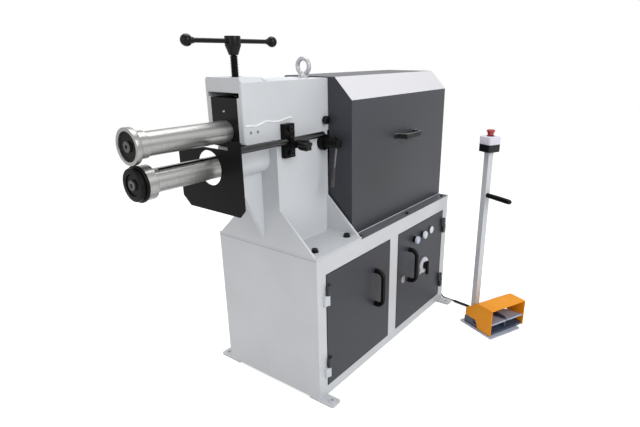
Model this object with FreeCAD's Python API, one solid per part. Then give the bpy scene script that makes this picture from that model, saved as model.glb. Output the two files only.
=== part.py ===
import FreeCAD
import Part
import math
import os

os.makedirs("parts", exist_ok=True)

# An electric beading machine on its cabinet, with a foot-switch pedestal beside it.
# Millimetres. X runs along the shafts, with the rollers at -X, the doors face -Y, and Z is up.
# The origin is on the floor, midway between the four floor-bolt holes.

# cabinet
cabinet_half_length = 670.0
cabinet_half_depth = 317.5
cabinet_top = 745.0
sheet = 3.0
top_plate = 10.0
foot_thickness = 12.0
foot_width = 65.0
foot_length = 145.0
foot_reach = 80.0
foot_clip = 8.0
floor_hole_inset = 32.5
floor_hole_reach = 50.0
floor_hole_radius = 9.0
levelling_ring_radius = 17.0
levelling_ring_height = 8.0
panel_left = -560.0
panel_length = 660.0
panel_bottom = 130.0
panel_height = 510.0
panel_spacer = 30.0
panel_spacer_radius = 8.0
panel_spacer_inset = 20.0
gear_columns = 6
gear_rows = (200.0, 420.0)
gear_pitch = 100.0
gear_block = (72.0, 75.0, 110.0)

# doors
door_inner = 45.0
stile_width = 66.0
door_bottom = 65.0
door_height = 595.0
door_proud = 2.5
door_depth = 20.0
door_gap = 3.0
stop_width = 12.0
hinge_offset = 10.0
hinge_radius = 8.5
hinge_pin_radius = 5.0
hinge_leaf = 25.0
hinge_leaf_thickness = 6.0
hinge_bottoms = (124.0, 512.0)
hinge_half = 49.0
handle_bottom = 325.0
handle_height = 220.0
handle_reach = 62.0
handle_radius = 10.0
handle_bend = 38.0
handle_foot_radius = 14.0
handle_foot_depth = 10.0
left_handle_x = -192.0
right_handle_x = 173.0

# door controls
button_z = 578.0
button_xs = (228.0, 333.0, 438.0)
button_reaches = (30.0, 25.0, 10.5)
button_collar_depths = (13.0, 8.0, 3.0)
button_cap_depths = (12.0, 12.0, 4.0)
button_cap_radius = 23.0
button_cap_rounding = 1.5
button_collar_radius = 19.0
button_neck_radius = 12.0
button_stem_radius = 8.0
button_stem_tail = 8.0
contact_block = 42.0
switch_x = 361.0
switch_z = 368.0
switch_radius = 50.0
switch_plate_depth = 10.0
switch_plate_rounding = 3.0
switch_tab_width = 18.0
switch_tab_reach = 12.0
switch_shaft_radius = 6.0
switch_shaft_length = 30.0
switch_boss_radius = 23.0
switch_boss_depth = 16.0
switch_lever_up = 32.0
switch_lever_down = 62.0
switch_lever_widths = (16.0, 26.0)
switch_lever_shoulder = 15.0
switch_lever_depths = (32.0, 8.0)
lock_x = 108.0
lock_z = 364.0
lock_ring_radius = 20.0
lock_ring_depth = 4.0
lock_plug_radius = 9.0
lock_slot = (2.0, 10.0, 5.0)
lock_cam_length = 62.0
lock_cam_half_width = 9.0

# shafts and gears
upper_z = 1314.5
gear_module = 8.0
gear_teeth = 17
pressure_angle = math.radians(20.0)
tooth_thinning = 0.45
root_clearance = 2.0
shaft_radius = 45.0
shaft_clearance = 0.05
bush_wall = 7.0
swing_x = 230.0
gear_seat = 185.0
gear_seat_radius = 35.0
gear_seat_spare = 2.0
lower_gear_width = 40.0
upper_gear_width = 52.0
nose_radius = 30.0
tail_radius = 25.0
tail_end = 470.0
roller_face = -1284.0
keyway_width = 14.0
keyway_depth = 6.0
keyway_start = -1185.0
keyway_end = -870.0
keyway_angle = 20.0

# rollers
upper_disc_radius = 66.5
upper_disc_width = 21.0
upper_collar_radius = 50.0
upper_collar_width = 42.0
upper_recess_radius = 53.5
upper_recess = 10.0
upper_washer_radius = 52.0
lower_front_radius = 61.0
lower_front_width = 12.0
lower_groove_radius = 57.0
lower_groove_width = 4.0
nose_setback = 12.0
lower_rim_radius = 68.0
lower_rim_width = 13.0
lower_recess_radius = 40.0
lower_recess = 8.0
lower_washer_radius = 38.0
roller_ring_radius = 64.0
roller_ring_width = 37.0
washer_thickness = 4.0
screw_head_radius = 20.0
screw_head_height = 8.0

# head frame
arm_front = -845.0
arm_rear = 290.0
arm_half_width = 111.0
arm_rise = 193.5
arm_drop = 48.5
arm_roof = 28.0
arm_wall = 16.0
arm_corner = 12.0
boss_length = 120.0
boss_rise = 18.0
boss_slope_height = 22.0
boss_slope_width = 15.0
boss_ramp = 35.0
boss_root = 8.0
guide_half_width = 78.0
guide_length = 148.0
guide_rise = 135.5
guide_relief = 91.0
guide_relief_rounding = 12.0
plate_thickness = 12.0
right_plate_x = -330.0
column_wall = 12.0
base_plate = 15.0
flare_edge = 9.0
flare_height = 186.0
flare_bore_clearance = 2.0
rib_thickness = 20.0
rib_height = 328.0
rib_inset = 14.0
rib_lap = 6.0
base_bolt_insets = (66.0, 27.0)
base_bolt_edge = 63.5
base_washer_radius = 18.5
base_washer_thickness = 3.0
base_head_radius = 14.5
base_head_height = 12.0
base_socket_radius = 8.0
lower_housing_inset = 5.0
lower_bush_setback = 30.0
housing_radius = 66.0
saddle_rise = 67.5
eye_x = -351.0
eye_outer = 45.0
eye_inner = 25.0
eye_rise = 51.0
eye_collar_radius = 25.0
eye_collar_height = 10.0
eye_neck_radius = 22.0
eye_neck_height = 14.0
eye_shank_radius = 12.0
eye_shank_length = 24.0

# pressure spindle
spindle_x = -774.0
spindle_radius = 16.0
spindle_journal = 8.0
nut_radius = 26.0
block_drop = 64.5
block_rise = 133.5
block_inset = 6.0
block_lip = 8.0
block_lip_clearance = 1.0
slide_clearance = 0.3
nipple_radius = 4.0
nipple_length = 6.0
nipple_rise = 80.5
pad_radius = 22.0
pad_neck = 12.5
pad_depth = 19.0
pad_thickness = 10.0
pad_clearance = 0.8
pad_side_clearance = 0.5
pad_play = 5.0
neck_rise = 5.0
journal_seat = 4.0
spindle_reach = 83.0
spigot_radius = 10.0
spigot_length = 30.0
hub_cone_radii = (18.5, 30.0)
hub_cone_height = 32.0
hub_radius = 32.0
hub_height = 42.0
hub_rounding = 3.0
bar_rise = 54.0
bar_radius = 9.0
ball_offset = 220.5
ball_radius = 22.5

# swing yoke and rear bearings
yoke_rise = 57.5
yoke_height = 30.0
yoke_half_width = 35.0
yoke_flange = (16.0, 60.0, 6.0, 8.0)
rear_housing_front = 100.0
rear_housing_rear = 180.0
rear_housing_half_width = 92.0
rear_housing_drop = 57.5
fork_inner = 80.0
fork_reach = 32.0
fork_half_height = 26.0
trunnion_radius = 12.0
trunnion_setback = 3.0
hanger_front = 110.0
hanger_rear = 170.0
hanger_drop = 73.5
hanger_half_foot = 60.0
hanger_slope_height = 40.0
hanger_wall = 13.5

# axial adjustment of the lower shaft
axial_x = -360.0
axial_rise = 36.5
axial_disc_radius = 38.0
axial_disc_depth = 20.0
axial_hub_radius = 21.0
axial_hub_depth = 86.0
axial_shaft_radius = 14.0
axial_shaft_length = 61.0
eccentric = 10.0
eccentric_angle = math.radians(30.0)
eccentric_pin_radius = 5.0
eccentric_pin_length = 24.0
collar_radius = 62.0
collar_half_width = 18.0
groove_radius = 50.0
groove_half_width = 5.6
lever_lean = 10.0
lever_depth = 69.0
lever_length = 208.0
lever_grip = 96.0
lever_socket = 13.0
lever_radius = 4.5
grip_radii = (5.0, 9.0)
plunger_depth = 68.0
plunger_stem_radius = 5.0
plunger_socket = 8.0
plunger_knob_radius = 9.0
plunger_knob_height = 14.0
plunger_rounding = 3.0
plunger_rise = 2.0
lock_knob_x = -341.0
lock_knob_rise = 2.5
lock_knob_radius = 20.0
lock_knob_depth = 22.0
lock_knob_rounding = 4.0
lock_knob_neck_radius = 11.0
lock_knob_neck_length = 4.0
lock_knob_stem_radius = 8.0
lock_knob_stem_reach = 6.0

# depth gauge
gauge_x = -943.0
gauge_thickness = 6.0
gauge_half_width = 190.0
gauge_drop = 180.5
gauge_shoulder_y = -118.5
gauge_notch_drop = 36.0
gauge_slope = ((42.0, 0.0), (90.0, 6.0), (140.0, 18.0))
gauge_height = 300.0
gauge_far_drop = 32.0
gauge_far_clip = (45.0, 40.0)
gauge_near_clip = (30.0, 32.0)
gauge_hole_radius = 72.0
gauge_hole_rise = 1.5
gauge_rod_depth = 41.5
gauge_rod_drop = 54.0
gauge_rod_radius = 13.5
gauge_rod_end = -400.0
gauge_rod_rounding = 4.0
clamp_inset = 28.0
clamp_length = 62.0
clamp_depth = 26.5
clamp_ring_length = 18.0
clamp_ring_rise = 23.5
clamp_ring_rounding = 8.0
clamp_boss_depth = 63.0
clamp_cheek_drop = 2.5
clamp_foot = 13.0
clamp_drop = 77.5
clamp_rise = 69.5
clamp_screw_inset = 20.0
clamp_slit = 2.0
clamp_head_radius = 12.0
clamp_head_height = 12.0
clamp_socket_radius = 6.0
knob_screw_inset = 64.0
knob_screw_drop = 18.5
knob_screw_radius = 4.0
knob_screw_length = 30.0
knob_neck_radius = 9.0
knob_neck_length = 12.0
knob_length = 56.0
knob_core_radii = (14.0, 18.0)
knob_lobe_radii = (8.0, 10.0)
knob_lobe_circle = 16.0
knob_lobes = 5

# hood
hood_left = -317.0
hood_wall_inset = 7.0
hood_half_depth_edge = 65.0
hood_shoulder_drop = 100.0
hood_roof_half = 154.5
hood_rise = 5.0
hood_sheet = 2.0
hood_cutout = 3.0
hood_mouth_drop = 58.5
hood_bolt_xs = (-296.0, 171.0, 619.0)
hood_bolt_edge = 21.5
hood_head_radius = 9.0
hood_head_height = 8.0
hood_socket_radius = 5.0
strap_left = 85.0
strap_length = 235.0
strap_bottom = 1181.0
strap_height = 27.0
strap_reach = 55.0
strap_thickness = 4.0
strap_foot = 30.0
strap_bend = 10.0

# geared motor
gearbox_front = 300.0
gearbox_rear = 460.0
gearbox_half_width = 80.0
gearbox_drop = 98.5
gearbox_rise = 96.5
gearbox_rounding = 12.0
sleeve_radius = 34.0
sleeve_overhang = 4.0
motor_radius = 64.0
motor_clearance = 43.0
terminal_half_length = 45.0
terminal_depth = 44.0
terminal_overlap = 14.0
terminal_rise = 100.0
terminal_height = 90.0

# foot-switch pedestal, in its own axes: U to the right, V to the back
pedestal_place = (523.0, -721.0)
pedestal_turn = -23.7
pedestal_base_half = (125.0, 132.5)
pedestal_base_thickness = 8.0
guard_left = -115.0
guard_right = 165.0
guard_front = -118.0
guard_back = 98.0
guard_top = 178.0
guard_back_top = 110.0
guard_back_bottom = 62.0
guard_bottom = 12.0
guard_step = 10.0
guard_sheet = 3.0
pedal_axis_v = 14.0
pedal_axis_z = 52.0
pedal_axle_radius = 5.0
pedal_boss_radius = 9.0
pedal_gap = 10.0
pedal_side_clearance = 2.0
pedal_tip_setback = 10.0
pedal_lip = 6.0
pedal_tip_top = 84.0
pedal_lip_z = 78.0
pedal_tip_bottom = 74.0
pedal_knee_z = 50.0
pedal_heel_bottom = 45.0
pedal_heel_middle = 52.0
pedal_heel_top = 60.0
pedal_heel_reach = 7.0
housing_toe_setback = 14.0
housing_toe_lip = 6.0
housing_toe_top = 26.0
housing_floor_z = 34.0
housing_step_v = 30.0
housing_deck_z = 62.0
housing_deck_inset = 4.0
housing_back_reach = 8.0
housing_back_top = 50.0
divider_setback = 20.0
divider_foot_z = 30.0
divider_half = 4.0
divider_top = 96.0
post_u = -47.0
post_v = 90.0
post_half = 17.5
post_top = 1073.0
post_wall = 2.5
stop_box_half = 43.0
stop_box_height = 75.0
stop_box_rounding = 6.0
stop_stem_radius = 15.0
stop_stem_reach = 15.0
stop_socket_depth = 25.0
stop_stem_rise = 37.0
stop_head_radius = 23.5
stop_head_height = 28.0
stop_head_rounding = 9.0
grip_z = 835.0
grip_radius = 12.5
grip_length = 185.0
grip_rounding = 6.0

# foot-switch lead
cable_diameter = 9.0
sleeve_diameter = 18.0
gland_y = -180.0
gland_z = 110.0
gland_radius = 13.0
gland_bore = 9.0
gland_length = 25.0
mains_gland_x = 480.0

gear_centres = gear_module * gear_teeth
lower_z = upper_z - gear_centres
floor_hole_x = cabinet_half_length - floor_hole_inset
floor_hole_y = cabinet_half_depth + floor_hole_reach
door_outer = cabinet_half_length - stile_width
door_face = -cabinet_half_depth - door_proud
door_back = door_face + door_depth
base_top = cabinet_top + base_plate
left_plate_x = -cabinet_half_length
column_front = left_plate_x + plate_thickness
base_plate_rear = right_plate_x + plate_thickness
arm_side = -arm_half_width
gauge_bottom = lower_z - gauge_drop
gauge_top = gauge_bottom + gauge_height
arm_top = upper_z + arm_rise
arm_bottom = upper_z - arm_drop
roof_bottom = arm_top - arm_roof
boss_rear = arm_front + boss_length
boss_top = arm_top + boss_rise
guide_rear = arm_front + guide_length
guide_top = upper_z + guide_rise
flare_half_width = cabinet_half_depth - flare_edge
flare_top = base_top + flare_height
bush_radius = shaft_radius + bush_wall
lower_shaft_front = roller_face + lower_front_width + lower_groove_width + lower_rim_width + roller_ring_width
upper_shaft_front = roller_face + upper_disc_width + upper_collar_width
housing_front = arm_front + lower_housing_inset
eye_centre = arm_top + eye_rise
block_rear = guide_rear - block_inset
block_bottom = upper_z - block_drop
block_top = upper_z + block_rise
pad_bottom = block_top - pad_depth
neck_top = block_top + neck_rise
hub_bottom = boss_top + spindle_reach
bar_z = hub_bottom + bar_rise
yoke_bottom = upper_z + yoke_rise
yoke_top = yoke_bottom + yoke_height
axial_z = lower_z + axial_rise
disc_front = arm_side - axial_disc_depth
hub_front = disc_front - axial_hub_depth
pin_x = axial_x + eccentric * math.sin(eccentric_angle)
pin_z = axial_z - eccentric * math.cos(eccentric_angle)
lever_y = disc_front - lever_depth
plunger_y = disc_front - plunger_depth
lock_knob_z = upper_z + lock_knob_rise
gauge_rod_y = arm_side - gauge_rod_depth
gauge_rod_z = upper_z - gauge_rod_drop
clamp_left = left_plate_x + clamp_inset
clamp_right = clamp_left + clamp_length
clamp_front = arm_side - clamp_depth
clamp_boss_front = arm_side - clamp_boss_depth
clamp_bottom = gauge_rod_z - clamp_drop
clamp_top = gauge_rod_z + clamp_rise
star_knob_x = left_plate_x + knob_screw_inset
star_knob_z = gauge_rod_z - knob_screw_drop
hood_right = cabinet_half_length
hood_half_depth = cabinet_half_depth - hood_half_depth_edge
hood_bolt_y = cabinet_half_depth - hood_bolt_edge
hood_top = arm_top + hood_rise
hood_shoulder = hood_top - hood_shoulder_drop
gearbox_bottom = lower_z - gearbox_drop
gearbox_top = lower_z + gearbox_rise
motor_bottom = cabinet_top + plate_thickness + motor_clearance
stop_stem_top = post_top + stop_box_height + stop_stem_rise
X = FreeCAD.Vector(1, 0, 0)
Y = FreeCAD.Vector(0, 1, 0)
Z = FreeCAD.Vector(0, 0, 1)


def vector(point):
    return FreeCAD.Vector(*point)


def block(x, y, z):
    """A box between the pairs x, y and z."""
    size = [side[1] - side[0] for side in (x, y, z)]
    return Part.makeBox(size[0], size[1], size[2], FreeCAD.Vector(x[0], y[0], z[0]))


def rod(start, axis, radius, length):
    return Part.makeCylinder(radius, length, vector(start), axis)


def cone(start, axis, radius, end_radius, length):
    return Part.makeCone(radius, end_radius, length, vector(start), axis)


def ring(start, axis, radius, bore, length):
    return rod(start, axis, radius, length).cut(rod(start, axis, bore, length))


def prism(points, axis):
    """The closed outline through the points, pushed along the vector axis."""
    corners = [vector(point) for point in points]
    return Part.Face(Part.makePolygon(corners + corners[:1])).extrude(axis)


def side_prism(outline, x):
    """An outline of (y, z) points, between the pair x."""
    return prism([(x[0], y, z) for y, z in outline], X * (x[1] - x[0]))


def front_prism(outline, y):
    """An outline of (x, z) points, between the pair y."""
    return prism([(x, y[0], z) for x, z in outline], Y * (y[1] - y[0]))


def fused(first, *others):
    return first.fuse(list(others)).removeSplitter()


def rounded(shape, radius, wanted):
    """Round the straight edges whose two ends both pass the test."""
    edges = [e for e in shape.Edges if all(wanted(v.Point) for v in e.Vertexes)]
    return shape.makeFillet(radius, edges)


def upright_corners(shape, radius):
    """Round the edges that run along Z."""
    edges = []
    for edge in shape.Edges:
        run = edge.Vertexes[-1].Point - edge.Vertexes[0].Point
        if run.Length > radius and abs(run.z) > 0.999 * run.Length:
            edges.append(edge)
    return shape.makeFillet(radius, edges)


def export(name, *shapes):
    shape = shapes[0] if len(shapes) == 1 else Part.makeCompound(list(shapes))
    if not shape.isValid():
        print(name, "is not valid")
    shape.exportStep("parts/" + name + ".step")


# cabinet


def foot(side, end):
    """One floor plate: side is -1 or 1 along X, end is -1 or 1 along Y."""
    outer = side * cabinet_half_length
    inner = outer - side * foot_width
    far = end * (cabinet_half_depth + foot_reach)
    near = far - end * foot_length
    clip = foot_clip
    points = [
        (outer, near), (outer, far - end * clip), (outer - side * clip, far),
        (inner + side * clip, far), (inner, far - end * clip), (inner, near),
    ]
    plate = prism([(x, y, 0) for x, y in points], Z * foot_thickness)
    hole = rod((side * floor_hole_x, end * floor_hole_y, 0), Z, floor_hole_radius, foot_thickness)
    return plate.cut(hole)


def door_opening(side, y, grow):
    """The door's outline grown all round, between the pair y."""
    x = sorted((side * (door_inner - grow), side * (door_outer + grow)))
    return block(x, y, (door_bottom - grow, door_bottom + door_height + grow))


def cabinet_shell():
    half_length = cabinet_half_length
    half_depth = cabinet_half_depth
    outer = block((-half_length, half_length), (-half_depth, half_depth), (foot_thickness, cabinet_top))
    inner = block(
        (sheet - half_length, half_length - sheet),
        (sheet - half_depth, half_depth - sheet),
        (foot_thickness + sheet, cabinet_top - top_plate),
    )
    shell = outer.cut(inner)
    lips = []
    stop_y = door_back + sheet
    for side in (-1, 1):
        shell = shell.cut(door_opening(side, (-half_depth, sheet - half_depth), door_gap))
        lip = door_opening(side, (-half_depth, stop_y + sheet), door_gap + sheet)
        lip = lip.cut(door_opening(side, (-half_depth, stop_y), door_gap))
        lips.append(lip.cut(door_opening(side, (stop_y, stop_y + sheet), door_gap - stop_width)))
    shell = shell.cut(rod((half_length - sheet, gland_y, gland_z), X, gland_bore, sheet))
    shell = shell.cut(rod((mains_gland_x, half_depth - sheet, gland_z), Y, gland_bore, sheet))
    feet = [foot(side, end) for side in (-1, 1) for end in (-1, 1)]
    return fused(shell, *lips, *feet)


def levelling_ring():
    place = (-floor_hole_x, -floor_hole_y, foot_thickness)
    return ring(place, Z, levelling_ring_radius, floor_hole_radius, levelling_ring_height)


def gland(place, axis):
    """A cable gland: a nut with six sides, a round cap, and a bore for the cable."""
    sides = [axis.cross(Z), Z]
    corners = []
    for k in range(6):
        angle = math.radians(60 * k)
        corner = sides[0] * math.cos(angle) + sides[1] * math.sin(angle)
        corners.append(tuple(vector(place) + corner * gland_radius))
    nut = prism(corners, axis * (0.4 * gland_length))
    cap = rod(tuple(vector(place) + axis * (0.4 * gland_length)), axis, 0.8 * gland_radius, 0.6 * gland_length)
    throat = rod(tuple(vector(place) - axis * sheet), axis, gland_bore, sheet)
    return fused(nut, cap, throat)


def control_panel():
    """The mounting plate on its four spacers, and two rows of switchgear."""
    back = cabinet_half_depth - sheet
    front = back - panel_spacer
    right = panel_left + panel_length
    top = panel_bottom + panel_height
    inset = panel_spacer_inset
    plate = block((panel_left, right), (front - sheet, front), (panel_bottom, top))
    spacers = [
        rod((x, front, z), Y, panel_spacer_radius, back - front)
        for x in (panel_left + inset, right - inset) for z in (panel_bottom + inset, top - inset)
    ]
    width, depth, height = gear_block
    gear = []
    for z in gear_rows:
        for k in range(gear_columns):
            left = panel_left + 2 * inset + gear_pitch * k
            gear.append(block((left, left + width), (front - sheet - depth, front - sheet), (z, z + height)))
    return fused(plate, *spacers, *gear)


# lift-off hinges


def hinge(side, bottom, on_door):
    """One half of a hinge: side is the door's, and the pin belongs to the half on the frame."""
    x = side * (door_outer + door_gap / 2)
    y = door_face - hinge_offset
    low = bottom + hinge_half if on_door else bottom
    face = door_face if on_door else -cabinet_half_depth
    reach = -side * hinge_leaf if on_door else side * hinge_leaf
    foot_near = x + 0.25 * reach
    across = sorted((x, x + reach))
    foot_across = sorted((foot_near, x + reach))
    leaf = block(across, (y - hinge_leaf_thickness / 2, y + hinge_leaf_thickness / 2), (low, low + hinge_half))
    foot_block = block(foot_across, (y, face), (low, low + hinge_half))
    half = fused(rod((x, y, low), Z, hinge_radius, hinge_half), leaf, foot_block)
    if on_door:
        bore = rod((x, y, low), Z, hinge_pin_radius + shaft_clearance, hinge_half - sheet)
        return half.cut(bore)
    return fused(half, rod((x, y, low), Z, hinge_pin_radius, 2 * hinge_half - 2 * sheet))


def frame_hinges(side):
    return [hinge(side, bottom, False) for bottom in hinge_bottoms]


# doors


def door_pan(side):
    outer = door_opening(side, (door_face, door_back), 0)
    inner = door_opening(side, (door_face + sheet, door_back), -sheet)
    leaves = [hinge(side, bottom, True) for bottom in hinge_bottoms]
    return fused(outer.cut(inner), *leaves)


def right_door():
    door = door_pan(1)
    for x in button_xs:
        door = door.cut(rod((x, door_face, button_z), Y, button_neck_radius, sheet))
    door = door.cut(rod((switch_x, door_face, switch_z), Y, 2 * switch_shaft_radius, sheet))
    return door.cut(rod((lock_x, door_face, lock_z), Y, lock_plug_radius + sheet, sheet))


def door_handle(x):
    """A round bow: two legs, a grip and the bends between them, with a wider foot at each end."""
    low = handle_bottom + handle_foot_radius
    high = handle_bottom + handle_height - handle_foot_radius
    tip = door_face - handle_reach + handle_radius
    bend = handle_bend
    short = bend * (1 - math.sqrt(0.5))

    def at(y, z):
        return FreeCAD.Vector(x, y, z)

    path = Part.Wire([
        Part.LineSegment(at(door_face, low), at(tip + bend, low)).toShape(),
        Part.Arc(at(tip + bend, low), at(tip + short, low + short), at(tip, low + bend)).toShape(),
        Part.LineSegment(at(tip, low + bend), at(tip, high - bend)).toShape(),
        Part.Arc(at(tip, high - bend), at(tip + short, high - short), at(tip + bend, high)).toShape(),
        Part.LineSegment(at(tip + bend, high), at(door_face, high)).toShape(),
    ])
    circle = Part.makeCircle(handle_radius, at(door_face, low), Y)
    bow = path.makePipeShell([Part.Wire(circle)], True, False)
    feet = [
        cone((x, door_face, z), -Y, handle_foot_radius, handle_radius, handle_foot_depth) for z in (low, high)
    ]
    return fused(bow, *feet)


def button_collars():
    """The black collar in front of the door and the contact block behind it, three times."""
    collars = []
    for x, depth in zip(button_xs, button_collar_depths):
        front = door_face - depth
        collar = rod((x, front, button_z), Y, button_collar_radius, depth)
        neck = rod((x, door_face, button_z), Y, button_neck_radius, sheet)
        half = contact_block / 2
        back = (door_face + sheet, door_face + sheet + contact_block)
        box = block((x - half, x + half), back, (button_z - half, button_z + half))
        bore = rod((x, front, button_z), Y, button_stem_radius + shaft_clearance, depth + door_depth)
        collars.append(fused(collar, neck, box).cut(bore))
    return collars


def button(number):
    x = button_xs[number]
    front = door_face - button_reaches[number]
    depth = button_cap_depths[number]
    cap = rod((x, front, button_z), Y, button_cap_radius, depth)
    cap = cap.makeFillet(button_cap_rounding, [cap.Edges[0], cap.Edges[2]])
    stem = rod((x, front + depth, button_z), Y, button_stem_radius, door_face - front - depth + button_stem_tail)
    return fused(cap, stem)


def switch_plate():
    """A round escutcheon with a tab at its lower left, and the switch behind the door."""
    front = door_face - switch_plate_depth
    disc = rod((switch_x, front, switch_z), Y, switch_radius, switch_plate_depth)
    disc = disc.makeFillet(switch_plate_rounding, [disc.Edges[2]])
    half = switch_tab_width / 2
    tab = block((-half, half), (front + 4, door_face), (-switch_radius - switch_tab_reach, half - switch_radius))
    tab.rotate(FreeCAD.Vector(0, 0, 0), Y, 45)
    tab.translate(FreeCAD.Vector(switch_x, 0, switch_z))
    body = rod((switch_x, door_face, switch_z), Y, 2 * switch_shaft_radius, sheet)
    half = contact_block / 2
    back = (door_face + sheet, door_face + sheet + contact_block)
    box = block((switch_x - half, switch_x + half), back, (switch_z - half, switch_z + half))
    bore = rod((switch_x, front, switch_z), Y, switch_shaft_radius + shaft_clearance, switch_shaft_length)
    return fused(disc, tab, body, box).cut(bore)


def switch_lever():
    """A round boss and a lever that points down."""
    back = door_face - switch_plate_depth - slide_clearance
    boss = rod((switch_x, back - switch_boss_depth, switch_z), Y, switch_boss_radius, switch_boss_depth)
    low = switch_z - switch_lever_down
    high = switch_z + switch_lever_up
    shoulder = switch_z + switch_lever_shoulder
    narrow, wide = [width / 2 for width in switch_lever_widths]
    outline = [
        (switch_x - narrow, low), (switch_x + narrow, low), (switch_x + wide, shoulder), (switch_x + narrow, high),
        (switch_x - narrow, high), (switch_x - wide, shoulder),
    ]
    front, rear = switch_lever_depths
    bar = front_prism(outline, (back - front, back - rear))
    shaft = rod((switch_x, back, switch_z), Y, switch_shaft_radius, switch_shaft_length)
    return fused(boss, bar, shaft)


def lock_housing():
    place = (lock_x, door_face - lock_ring_depth, lock_z)
    flange = rod(place, Y, lock_ring_radius, lock_ring_depth)
    barrel_length = lock_ring_depth + door_depth + lock_ring_depth
    barrel = rod(place, Y, lock_plug_radius + sheet, barrel_length)
    return fused(flange, barrel).cut(rod(place, Y, lock_plug_radius + shaft_clearance, barrel_length))


def key_lock():
    """The plug, with its key slot, and the cam that reaches behind the middle of the frame."""
    front = door_face - lock_ring_depth
    back = door_back + 2 * lock_ring_depth + sheet
    plug = rod((lock_x, front, lock_z), Y, lock_plug_radius, back - front)
    width, height, depth = lock_slot
    slot = block(
        (lock_x - width / 2, lock_x + width / 2), (front, front + depth), (lock_z - height / 2, lock_z + height / 2),
    )
    half = lock_cam_half_width
    cam = block((lock_x - lock_cam_length, lock_x + half), (back - sheet, back), (lock_z - half, lock_z + half))
    return fused(plug.cut(slot), cam)


# head frame


def head_casting():
    """The arm, open below, with its front boss and guides, and the walls of the column."""
    width = arm_half_width
    arm = block((arm_front, arm_rear), (-width, width), (arm_bottom, arm_top))
    root = arm_top - boss_root
    slope_foot = boss_top - boss_slope_height
    slope_top = width - boss_slope_width
    boss_outline = [
        (-width, root), (-width, slope_foot), (-slope_top, boss_top), (slope_top, boss_top), (width, slope_foot),
        (width, root),
    ]
    boss = side_prism(boss_outline, (arm_front, boss_rear))
    ramp_end = boss_rear + boss_ramp
    ramp = front_prism(
        [(boss_rear, root), (boss_rear, boss_top), (ramp_end, arm_top), (ramp_end, root)], (-slope_top, slope_top),
    )
    arm = fused(arm, boss, ramp)
    arm = rounded(arm, arm_corner, lambda p: abs(p.x - arm_front) < 1 and abs(abs(p.y) - width) < 1)
    column = block((column_front, right_plate_x), (-width, width), (base_top, arm_bottom))
    hollow = block(
        (column_front, right_plate_x), (column_wall - width, width - column_wall), (base_top, arm_bottom),
    )
    cavity = block((guide_rear, arm_rear), (arm_wall - width, width - arm_wall), (arm_bottom, roof_bottom))
    guide = block((arm_front, guide_rear), (-guide_half_width, guide_half_width), (arm_bottom, guide_top))
    relief = block((arm_front, guide_rear), (-guide_relief, guide_relief), (guide_top, roof_bottom))
    relief = rounded(relief, guide_relief_rounding, lambda p: p.z > roof_bottom - 1 and abs(p.y) > guide_half_width)
    casting = fused(arm, column.cut(hollow))
    for space in (cavity, guide, relief, nut_hole(), axial_hole(), knob_hole(), trunnion_holes(), eye_hole()):
        casting = casting.cut(space)
    return casting


def nut_hole():
    return rod((spindle_x, 0, roof_bottom), Z, nut_radius, boss_top - roof_bottom)


def axial_hole():
    return rod((axial_x, arm_side, axial_z), Y, axial_shaft_radius + shaft_clearance, column_wall)


def knob_hole():
    return rod((lock_knob_x, arm_side, lock_knob_z), Y, lock_knob_stem_radius + shaft_clearance, arm_wall)


def trunnion_holes():
    return rod((swing_x, arm_side, upper_z), Y, trunnion_radius + shaft_clearance, 2 * arm_half_width)


def eye_hole():
    return rod((eye_x, 0, arm_top - eye_shank_length), Z, eye_shank_radius, eye_shank_length)


def flare_plate(x):
    """A plate across the column that widens to the base plate, with a bore for the lower shaft."""
    width = arm_half_width
    outline = [
        (-flare_half_width, base_top), (flare_half_width, base_top), (width, flare_top), (width, arm_bottom),
        (-width, arm_bottom), (-width, flare_top),
    ]
    plate = side_prism(outline, (x, x + plate_thickness))
    return plate.cut(rod((x, 0, lower_z), X, shaft_radius + flare_bore_clearance, plate_thickness))


def base_plate_solid():
    half = cabinet_half_depth
    return block((-cabinet_half_length, base_plate_rear), (-half, half), (cabinet_top, base_top))


def screw(place, axis, head_radius, head_height, bore):
    """A socket head whose shank is inside the piece that it holds; axis points out of the head."""
    head = rod(place, axis, head_radius, head_height)
    socket = rod(tuple(vector(place) + axis * (0.45 * head_height)), axis, bore, 0.55 * head_height)
    return head.cut(socket)


def base_bolts():
    """A washer and a screw in each corner of the base plate."""
    first, last = base_bolt_insets
    head_z = base_top + base_washer_thickness
    y = cabinet_half_depth - base_bolt_edge
    bolts = []
    for x in (left_plate_x + first, right_plate_x - last):
        for across in (-y, y):
            washer = rod((x, across, base_top), Z, base_washer_radius, base_washer_thickness)
            head = screw((x, across, head_z), Z, base_head_radius, base_head_height, base_socket_radius)
            bolts.append(fused(washer, head))
    return bolts


def lower_shaft_housing():
    """The tube of the lower front bearing, squared off above, and the rib below."""
    span = left_plate_x - housing_front
    half = housing_radius
    tube = rod((housing_front, 0, lower_z), X, housing_radius, span)
    saddle = block((housing_front, left_plate_x), (-half, half), (lower_z, lower_z + saddle_rise))
    rib_top = lower_z - housing_radius + rib_lap
    rib_bottom = rib_top - rib_height
    rib_outline = [(left_plate_x, rib_bottom), (housing_front + rib_inset, rib_top), (left_plate_x, rib_top)]
    rib = front_prism(rib_outline, (-rib_thickness / 2, rib_thickness / 2))
    housing = fused(tube, saddle, rib)
    return housing.cut(rod((housing_front, 0, lower_z), X, bush_radius, span))


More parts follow.
